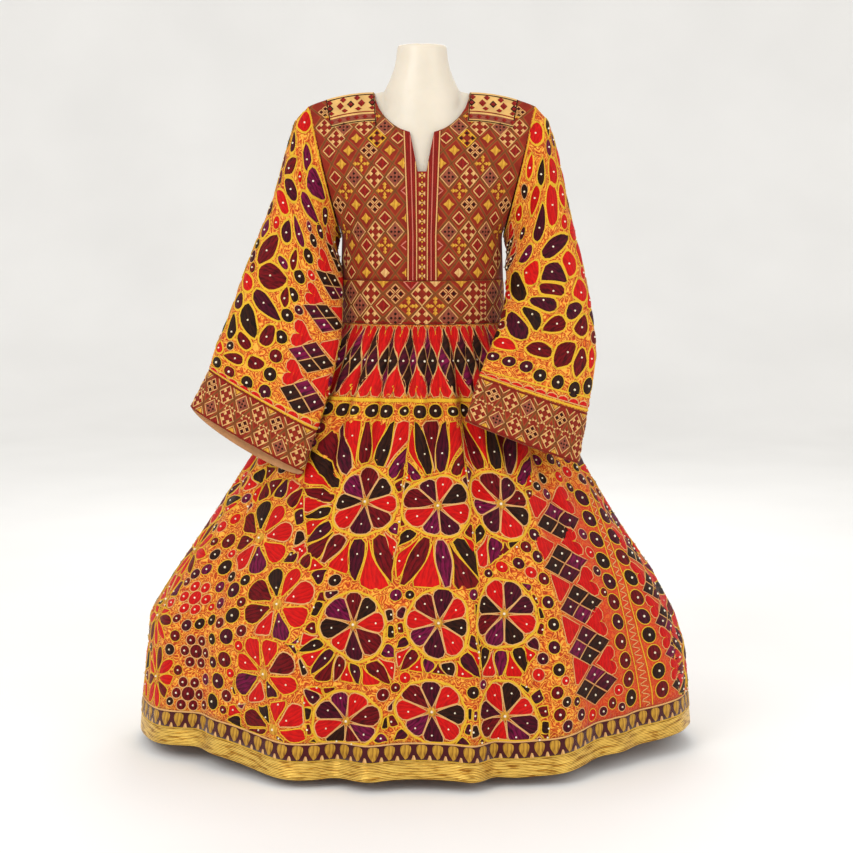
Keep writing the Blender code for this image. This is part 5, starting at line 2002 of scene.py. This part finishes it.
@dataclass
class SkirtWork:
    """The skirt's embroidery: hip band, flowers, side strips and hem border."""

    skirt: Skirt
    hip_columns: int = 28
    hip_middle: float = 0.753
    hip_tall: float = 0.0710
    hip_line: float = 0.684
    disc_row: float = 0.665
    disc_count: int = 45
    leaves: int = 96
    # middles of the ringed flowers in front, by degrees of cloth from the front and by height
    ringed: tuple[Spot, ...] = (
        (-19.8, 0.507), (-17.7, 0.297), (-18.4, 0.130), (5.7, 0.502), (4.4, 0.302), (2.4, 0.147),
        (29.7, 0.502), (23.6, 0.313), (21.8, 0.136),
    )
    free: tuple[Spot, ...] = ((-55.0, 0.430), (-39.9, 0.324), (-40.4, 0.202), (-36.5, 0.110))
    bursts: tuple[Spot, ...] = ((-80.0, 0.262), (-76.5, 0.150), (-82.0, 0.385))
    left_discs: tuple[Spot, ...] = (
        (-67.5, 0.415), (-63.7, 0.369), (-56.0, 0.335), (-53.0, 0.291), (-52.8, 0.252), (-53.0, 0.208), (-54.8, 0.164),
        (-56.2, 0.122),
    )
    clusters: tuple[Spot, ...] = ((-68.7, 0.308), (-63.9, 0.208), (-65.5, 0.125))
    right_discs: tuple[Spot, ...] = (
        (38.9, 0.445), (37.3, 0.408), (37.0, 0.370), (36.2, 0.330), (36.4, 0.291), (35.3, 0.252),
        (35.8, 0.212), (34.8, 0.172), (35.2, 0.132),
    )
    # paths up the right side: the diamonds' middles, the two disc columns and the vine between them
    diamonds: tuple[Spot, ...] = ((47.8, 0.162), (47.0, 0.238), (47.9, 0.314), (47.6, 0.388), (51.5, 0.460))
    inner_discs: tuple[Spot, ...] = (
        (59.8, 0.119), (58.8, 0.180), (58.4, 0.236), (60.4, 0.308), (62.7, 0.374), (66.0, 0.440), (69.0, 0.505),
    )
    outer_discs: tuple[Spot, ...] = (
        (70.2, 0.119), (68.9, 0.180), (68.4, 0.240), (69.0, 0.300), (71.0, 0.369), (74.3, 0.441), (78.0, 0.505),
    )
    # rows of flowers behind: height and how many, between two angles
    back_rows: tuple[tuple[float, int], ...] = ((0.135, 12), (0.292, 11), (0.452, 9), (0.583, 9))
    back_start: float = 88
    back_width: float = 196
    disc_pitch: float = 0.0375

    def part(self, name: str, low: float, high: float, slot: str = "flower_cloth", base: float = WALL) -> Embroidery:
        """Stitches between two heights of the skirt."""
        return Embroidery(name, self.skirt.cloth, slot, level(low), level(high), base)

    def work(self) -> None:
        """All of it, from the waist down."""
        self.hip()
        self.flowers()
        self.hem()

    def hip(self) -> None:
        """Red hearts from above and below that meet between dark diamonds, and a yellow line under them."""
        work = self.part("skirt_hip", self.hip_line - 4 * MM, self.skirt.top - MM, base=WALL + 0.9 * MM)
        pitch = 360 / self.hip_columns
        span = np.interp(self.hip_middle, self.skirt.cloth.v, self.skirt.cloth.span)
        wide, tall = pitch / 2 * span, self.hip_tall
        threads = (Thread.OLIVE, Thread.PLUM, Thread.OLIVE, Thread.MAGENTA)
        for column in range(self.hip_columns):
            middle = (pitch * column - 180 + pitch * 0.3, self.hip_middle)
            quartered(work, middle, wide, tall, threads, column, edge=0.5, beads=2)
            for up in (1, -1):
                form = heart() * up
                shape = form.real * wide * 1.68 + 1j * form.imag * tall * 1.04 + complex(wide, up * tall * 0.57)
                notch(work, middle, resample(shape), complex(wide, up * tall * 0.86), -1j * up)
        work.belt(Thread.YELLOW_LINE, self.hip_line, 7.0 * MM, 1.6 * MM, stations=361)
        work.lowest = level(0.1)
        for column in range(self.disc_count):
            spot = (360 / self.disc_count * column - 177, self.disc_row)
            radius = (16.0 if column % 3 else 11.5) * MM
            work.pad(Thread.OLIVE, spot, circle(radius * 0.8))
            work.line(Thread.YELLOW_LINE, spot, circle(radius * 0.9), 2.4 * MM)
            work.bead(spot, 0j, 2.2 * MM)
        work.sew()

    def flowers(self) -> None:
        """The flowers all round, with the strips on the right and the discs on the left."""
        top, low = self.disc_row - 15 * MM, self.skirt.base + BORDER_TOP + 2 * MM
        kinds = FlowerKind
        everything = [Flower(kinds.RINGED, u, v, 9.0 * index) for index, (u, v) in enumerate(self.ringed)]
        everything += [Flower(kinds.FREE, u, v, 5.0 * index, 1.12) for index, (u, v) in enumerate(self.free)]
        for kind, size, places in (
            (kinds.BURST, 1.3, self.bursts), (kinds.DISC, 1.0, self.left_discs), (kinds.DISC, 0.8, self.right_discs),
            (kinds.NOTHING, 1.5, self.clusters), (kinds.NOTHING, 1.9, self.diamonds),
            (kinds.DISC, 1.08, self.column(self.inner_discs, self.disc_pitch)),
            (kinds.DISC, 1.08, self.column(self.outer_discs, self.disc_pitch)),
        ):
            everything += [Flower(kind, u, v, size=size) for u, v in places]
        for row, (v, count) in enumerate(self.back_rows):
            for index in range(count):
                u = self.back_start + (self.back_width / count) * (index + 0.25 + 0.5 * (row % 2))
                kind = kinds.FREE if (index + row) % 3 == 2 else kinds.RINGED
                everything.append(Flower(kind, wrapped(u), v, 11.0 * index, 0.92))
        ranges = (("skirt_front", -38.0, 38.0), ("skirt_round", 38.0, 322.0))
        gardens, taken = [], []
        for name, start, end in ranges:
            garden = Garden(self.part(name, low, top), everything, seed=11)
            garden.work.taken = taken
            garden.grow([flower for flower in everything if start <= (flower.u - start) % 360 + start < end])
            gardens.append(garden)
        self.right_side(gardens[1].work)
        self.left_side(gardens[1].work)
        for garden, (name, start, end) in zip(gardens, ranges):
            u, v = np.meshgrid(np.arange(start + 1, end - 0.5, 0.75), np.arange(low + 6 * MM, top, 5.5 * MM))
            garden.fill_gaps(wrapped(u.ravel()), v.ravel())
            garden.work.sew()

    def column(self, path: Sequence[Spot], pitch: float) -> list[Spot]:
        """Places along a path, evenly spaced in height."""
        places = np.array(path)
        heights = np.arange(places[0, 1], places[-1, 1], pitch)
        return [(float(np.interp(v, places[:, 1], places[:, 0])), float(v)) for v in heights]

    def right_side(self, work: Embroidery) -> None:
        """Dark diamonds with hearts beside them, and a vine between two lines."""
        heart_row(work, self.diamonds, 58 * MM, 39 * MM, "right")
        inner, outer = np.array(self.inner_discs), np.array(self.outer_discs)
        v = np.linspace(0.095, 0.50, 150)
        left = np.interp(v, inner[:, 1], inner[:, 0])
        right = np.interp(v, outer[:, 1], outer[:, 0])
        for share in (0.32, 0.68):
            work.trail(Thread.YELLOW_LINE, left + (right - left) * share, v, 2.2 * MM)
        wave = 0.5 + 0.11 * np.sin(np.arange(150) * 1.1)
        work.trail(Thread.CREAM_LINE, left + (right - left) * wave, v, 1.8 * MM)
        edge = [(u + 9.2, height) for u, height in self.column(self.outer_discs, 0.066)]
        heart_row(work, edge, 44 * MM, 33 * MM)

    def left_side(self, work: Embroidery) -> None:
        """Clusters of seven small red discs."""
        for u, v in self.clusters:
            for index in range(7):
                centre = 25 * MM * np.exp(1j * math.pi / 3 * index) if index else 0j
                size = (10.0 if index else 13.5) * MM
                work.pad(Thread.RED if v > 0.25 else Thread.MAROON, (u, v), circle(size) + centre)
                work.line(Thread.CREAM_LINE, (u, v), circle(size * 1.06) + centre)
                work.bead((u, v), centre, 1.9 * MM)

    def hem(self) -> None:
        """Gold leaves between dark keyholes on the maroon border, and a cream line over them."""
        base = self.skirt.base
        middle, half = base + (RIBBON_TOP + BORDER_TOP) / 2, (BORDER_TOP - RIBBON_TOP) / 2
        work = self.part("hem_border", base + RIBBON_TOP + MM, base + BORDER_TOP + 3 * MM, "maroon_border")
        leaf = (-7.5 + 14j, 7.5 + 14j, 10.5 + 7j, 8.4 - 1j, 4.4 - 8j, 0.4 - 14j, -4.0 - 8j, -8.8 - 1j, -10.5 + 7j)
        drop = (-4.2 - 14j, 4.2 - 14j, 1.4 - 5j, -1.4 - 5j)
        for index in range(self.leaves):
            spot = (360 / self.leaves * index - 180, middle)
            work.pad(Thread.PURL, spot, resample(rounded(np.array(leaf) * MM, 1)), 1.2 * MM)
            work.pad(Thread.CREAM, spot, resample(np.array(drop) * MM + 14.2 * MM), 0.7 * MM)
        work.belt(Thread.CREAM_LINE, middle + half + MM, 3.0 * MM, 1.2 * MM, stations=721)
        work.belt(Thread.YELLOW_LINE, middle - half + MM, 2.0 * MM, 0.8 * MM, stations=721)
        work.sew()


@dataclass(frozen=True)
class SleeveLayout:
    """Where a sleeve's shapes lie, by u and v of its cloth."""

    # middle and size of each flower, all of them behind
    flowers: tuple[tuple[float, float, float], ...]
    # the petals in front: thread, tip, round end, width in millimetres
    petals: tuple[tuple[str, float, float, float, float, float], ...]
    discs: tuple[Spot, ...]
    # middles of the blocks of four, their width and height in millimetres, and the side that has hearts
    diamonds: tuple[Spot, ...]
    block: tuple[float, float]
    hearts: str


@dataclass
class SleeveWork:
    """A sleeve's embroidery: petals, flowers, dark discs over the cuff, and the cuff's lattice."""

    sleeve: Sleeve
    layout: SleeveLayout

    def work(self) -> None:
        """The sleeve, then the cuff."""
        sleeve = self.sleeve
        high = sleeve.rows - 0.03
        work = Embroidery(f"sleeve_{sleeve.name}", sleeve.cloth, "flower_cloth", level(0.03), level(high))
        layout, kinds = self.layout, FlowerKind
        middles = [
            ((p[1] + p[3]) / 2, (p[2] + p[4]) / 2, abs(sleeve.cloth.offset(p[1:3], p[3:5])) + 2 * p[5] * MM)
            for p in layout.petals
        ]
        flowers = [Flower(kinds.FREE, u, v, 13.0 * index, size) for index, (u, v, size) in enumerate(layout.flowers)]
        flowers += [Flower(kinds.NOTHING, u, v, size=1.6) for u, v in layout.diamonds]
        flowers += [Flower(kinds.NOTHING, u, v, size=0.8) for u, v, _ in middles]
        flowers += [Flower(kinds.SMALL_DISC, u, v, size=1.45) for u, v in layout.discs]
        flowers += [Flower(kinds.SMALL_DISC, u % 360 - 180, 0.62, size=1.4) for u in np.arange(-80, 81, 22.5)]
        garden = Garden(work, flowers, seed=5)
        garden.grow(flowers)
        threads = {"G": Thread.MAGENTA, "P": Thread.PLUM, "M": Thread.MAROON, "O": Thread.OLIVE, "R": Thread.RED}
        for letter, tip_u, tip_v, end_u, end_v, width in layout.petals:
            garden.laid(threads[letter], (tip_u, tip_v), (end_u, end_v), width * MM, middles)
        heart_row(work, layout.diamonds, layout.block[0] * MM, layout.block[1] * MM, layout.hearts)
        moon = resample(np.array([-12, -9 + 5j, 7j, 9 + 5j, 12]) * MM)
        for u in np.arange(20) * 18.0 - 180:
            work.pad(Thread.RED, (u, 0.14), moon)
            work.line(Thread.CREAM_LINE, (u, 0.14), moon)
        for v, width, height in ((0.06, 4.0, 1.2), (0.33, 3.0, 0.8), (high - 0.08, 3.0, 0.8)):
            work.belt(Thread.YELLOW_LINE, v, width * MM, height * MM)
        across, along = np.meshgrid(np.arange(-180, 180, 3.0), np.arange(1.0, sleeve.rows - 0.2, 0.1))
        garden.fill_gaps(across.ravel(), along.ravel())
        work.sew()
        self.cuff()

    def cuff(self) -> None:
        """The lattice motifs of the cuff."""
        sleeve = self.sleeve
        work = Embroidery(f"cuff_{sleeve.name}", sleeve.cuff, "lattice_cloth", level(0.015), level(0.985))
        lattice = LatticeWork(work, 0.9)
        count = CHART.cuff_count
        for row, way in enumerate((-1j, 1j)):
            for index in range(count):
                u = 360 / count * (index + row / 2) - 180
                lattice.stitch(Motif(CHART.cuff[row][index % 4]), (u, CHART.cuff_row + row * CHART.cuff_tall))
                edge, thread = (u, 0.04 if row else 0.96), (Thread.GOLD, Thread.BRICK)[index % 2]
                work.pad(thread, edge, resample(np.array([7, -7, 8 * way]) * MM), 0.6 * MM)
                peak = np.array([10, 5 + 5.5 * way, 11 * way, -5 + 5.5 * way, -10]) * MM
                work.line(Thread.CREAM_LINE, edge, peak, closed=False)
        for index in range(count * 4):
            spot = (90 / count * index - 180, 0.5 + 0.03 * (-1) ** index)
            for hand in (-1, 1):
                bow = (np.array([0, 4.4 - 3j, 4.4 + 3j]) * hand * 1j ** (index % 2)) * MM
                work.pad(Thread.CREAM, spot, resample(bow), 0.6 * MM)
        for height in (0.02, 0.98):
            work.belt(Thread.BRICK, height, 2.6 * MM)
        work.sew()


LEFT_LAYOUT = SleeveLayout(
    flowers=(
        (95, 6.3, 1.1), (160, 5.6, 1.1), (120, 4.3, 1.1), (-145, 6.4, 1.1), (-150, 4.6, 1.1), (-120, 3.1, 1.1),
        (-170, 2.9, 1.1), (125, 2.6, 1.1), (-100, 1.55, 0.9), (-150, 1.5, 1.0), (160, 1.5, 1.0), (112, 1.4, 1.0),
    ),
    petals=(
        ("G", -45, 7.27, -17, 6.87, 18), ("G", 26, 7.53, -21, 6.53, 27), ("G", 28, 6.13, -18, 5.87, 22),
        ("G", -22, 5.20, 7, 4.73, 16), ("P", -27, 4.93, -24, 4.33, 16), ("M", -46, 6.40, -62, 5.60, 16),
        ("P", -63, 5.40, -27, 5.67, 22), ("R", -74, 5.07, -31, 5.07, 22), ("G", -66, 4.40, -65, 3.93, 14),
        ("M", -35, 4.33, -54, 3.47, 20), ("G", -29, 3.87, -6, 3.80, 14), ("M", -1, 4.53, 0, 3.87, 9),
        ("M", 1, 3.53, -46, 3.20, 33), ("P", 5, 2.53, -45, 2.80, 24), ("M", 1, 3.40, 2, 2.87, 10),
        ("O", -19, 1.80, -57, 2.40, 20), ("M", -59, 2.00, -27, 1.47, 16), ("M", -4, 2.47, -12, 1.73, 15),
        ("O", -71, 2.27, -57, 1.33, 13), ("M", -63, 1.00, -30, 1.13, 17), ("M", -22, 1.40, -7, 1.07, 22),
        ("R", -78, 3.00, -54, 2.80, 18), ("P", -67, 2.67, -69, 2.33, 13), ("R", -87, 7.73, -60, 7.33, 22),
        ("P", -73, 6.80, -59, 6.40, 13), ("R", -77, 1.40, -72, 1.00, 11),
    ),
    discs=(
        (36, 6.93), (30, 5.93), (19, 4.67), (14, 3.87), (11, 3.27), (11, 2.73), (10, 2.20), (10, 1.67), (10, 1.07),
        (10, 0.47), (-46, 0.53), (-17, 0.47), (-70, 0.62),
    ),
    diamonds=((58.0, 0.80), (55.0, 2.00), (60.0, 3.20), (66.0, 4.50), (72.0, 5.9)),
    block=(46.0, 33.0),
    hearts="left",
)
RIGHT_LAYOUT = SleeveLayout(
    flowers=(
        (110, 5.6, 1.1), (160, 6.4, 1.1), (-125, 6.2, 1.1), (-150, 5.0, 1.1), (105, 3.9, 1.0), (155, 3.6, 1.1),
        (-110, 3.9, 1.0), (-160, 2.4, 1.1), (110, 2.2, 1.0), (-115, 1.9, 1.0), (155, 1.5, 1.0),
    ),
    petals=(
        ("R", 73, 7.47, 42, 7.60, 24), ("O", 86, 7.20, 60, 6.67, 8), ("O", 39, 6.60, 17, 6.27, 19),
        ("R", 52, 6.27, 51, 5.60, 19), ("R", -12, 5.87, 10, 6.40, 24), ("R", 21, 4.53, 36, 5.60, 19),
        ("R", 58, 4.80, 60, 5.33, 13), ("P", 15, 5.67, -16, 4.93, 22), ("P", 52, 4.00, -12, 4.27, 26),
        ("G", -52, 5.00, -25, 4.80, 26), ("R", 27, 3.87, 37, 3.13, 21), ("P", 22, 2.93, -17, 3.80, 28),
        ("R", -35, 3.33, -46, 4.53, 26), ("M", -27, 3.27, 8, 2.60, 24), ("O", -65, 4.80, -56, 3.07, 21),
        ("P", 1, 2.13, -37, 3.00, 23), ("R", 48, 2.93, 52, 2.33, 22), ("P", 24, 2.33, 43, 2.00, 26),
        ("P", -47, 1.13, -68, 2.67, 24), ("O", -24, 1.53, -50, 2.73, 17), ("M", -20, 1.67, 18, 1.93, 26),
        ("R", -52, 1.07, -87, 1.40, 21), ("M", 9, 0.93, -36, 1.27, 24), ("M", 12, 0.73, 36, 1.40, 32),
        ("M", 58, 2.00, 45, 1.47, 17), ("M", 48, 0.60, 54, 1.27, 19), ("R", 71, 1.20, 71, 0.80, 11),
        ("R", -26, 7.20, -41, 6.80, 22), ("R", 29, 7.47, 3, 7.27, 13),
    ),
    discs=((-81, 0.80), (-57, 0.73), (-31, 0.67), (-8, 0.53), (21, 0.47), (50, 0.40), (74, 0.5)),
    diamonds=((-78.0, 5.5), (-76.0, 6.6)),
    block=(38.0, 25.0),
    hearts="right",
)


@dataclass
class Studio:
    """Camera, soft lights and a plain pale floor."""

    lens: float = 70.0
    distance: float = 3.17
    height: float = 1.0
    tilt: float = 83.1
    shift: float = 0.0053
    # the floor bends up behind the dress in an arc that starts here and has this radius
    bend_at: float = 4.5
    bend: float = 3.0

    def build(self) -> None:
        """Adds them all."""
        scene = bpy.context.scene
        camera = bpy.data.cameras.new("camera")
        camera.lens, camera.sensor_width, camera.shift_x = self.lens, 36.0, self.shift
        eye = bpy.data.objects.new("camera", camera)
        eye.location = (0, -self.distance, self.height)
        eye.rotation_euler = (math.radians(self.tilt), 0, 0)
        scene.collection.objects.link(eye)
        scene.camera = eye
        for name, place, size, power in (
            ("window", (-1.9, -2.6, 2.6), 1.8, 46.0),
            ("fill", (2.3, -2.2, 1.9), 2.0, 22.0),
            ("back", (0.3, 2.4, 2.8), 1.8, 30.0),
        ):
            self.lamp(name, place, size, power)
        world = bpy.data.worlds.new("studio")
        world.use_nodes = True
        world.node_tree.nodes["Background"].inputs["Color"].default_value = (1.0, 0.99, 0.97, 1)
        world.node_tree.nodes["Background"].inputs["Strength"].default_value = 0.9
        scene.world = world
        scene.view_settings.view_transform = "Standard"
        self.floor()

    def lamp(self, name: str, place: tuple[float, float, float], size: float, power: float) -> None:
        """A square soft light turned towards the dress."""
        light = bpy.data.lights.new(name, "AREA")
        light.size, light.energy = size, power
        lamp = bpy.data.objects.new(name, light)
        lamp.location = place
        lamp.rotation_euler = (Vector((0, 0, 0.75)) - Vector(place)).to_track_quat("-Z", "Y").to_euler()
        bpy.context.scene.collection.objects.link(lamp)

    def floor(self) -> None:
        """A pale floor that sweeps up behind the dress, so that it has no horizon."""
        shape = bmesh.new()
        bmesh.ops.create_grid(shape, x_segments=1, y_segments=48, size=14.0)
        for vert in shape.verts:
            past = max(0.0, (vert.co.y - self.bend_at) / self.bend)
            turn = min(past, math.pi / 2)
            if past:
                vert.co.y = self.bend_at + self.bend * math.sin(turn)
                vert.co.z = self.bend * (1 - math.cos(turn)) + self.bend * (past - turn)
        mesh = bpy.data.meshes.new("floor")
        shape.to_mesh(mesh)
        shape.free()
        mesh.materials.append(FLOOR.make())
        mesh.shade_smooth()
        floor = bpy.data.objects.new("floor", mesh)
        bpy.context.scene.collection.objects.link(floor)


@dataclass(frozen=True)
class PaintedFloor(Finish):
    """Matt white studio paint."""

    def surface(self, tree: Tree, shader: Node) -> None:
        """A barely seen mottling."""
        colour_by_ramp(tree, shader, noise(tree, own_place(tree), 1.5), (0.3, darker(self.colour, 0.98)), (0.7, self.colour))


FLOOR = PaintedFloor("studio_floor_paint", "#f6f5f3", 0.85)


@dataclass
class DressForm:
    """The moulded form and its turned stand."""

    def build(self) -> None:
        """Smooths the form's own mesh, and gives the stand, whose shape stays, its finish."""
        shape = bmesh.new()
        shape.from_mesh(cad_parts["form_torso"].data)
        bmesh.ops.remove_doubles(shape, verts=shape.verts, dist=1e-5)
        mesh = bpy.data.meshes.new("form")
        shape.to_mesh(mesh)
        shape.free()
        mesh.materials.clear()
        form = new_piece("moulded_form", mesh, IVORY, "form_plastic")
        soften = form.modifiers.new("moulded", "SUBSURF")
        soften.levels = soften.render_levels = 1
        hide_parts("form_torso")
        for name in ("stand_base", "stand_pole"):
            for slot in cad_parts[name].material_slots:
                slot.material = STEEL.make()


def main() -> None:
    """Builds the dress, then the studio."""
    skirt = Skirt()
    skirt.build_cloth()
    SkirtWork(skirt).work()
    for facing in (-1, 1):
        panel = BodicePanel(facing)
        panel.build()
        BodiceWork(panel).work()
        if facing < 0:
            Trim(panel).build()
    for name, shape, layout in (("left", LEFT_SLEEVE, LEFT_LAYOUT), ("right", RIGHT_SLEEVE, RIGHT_LAYOUT)):
        sleeve = Sleeve(name, shape)
        sleeve.build()
        SleeveWork(sleeve, layout).work()
    DressForm().build()
    Studio().build()


if __name__ == "__main__":
    main()
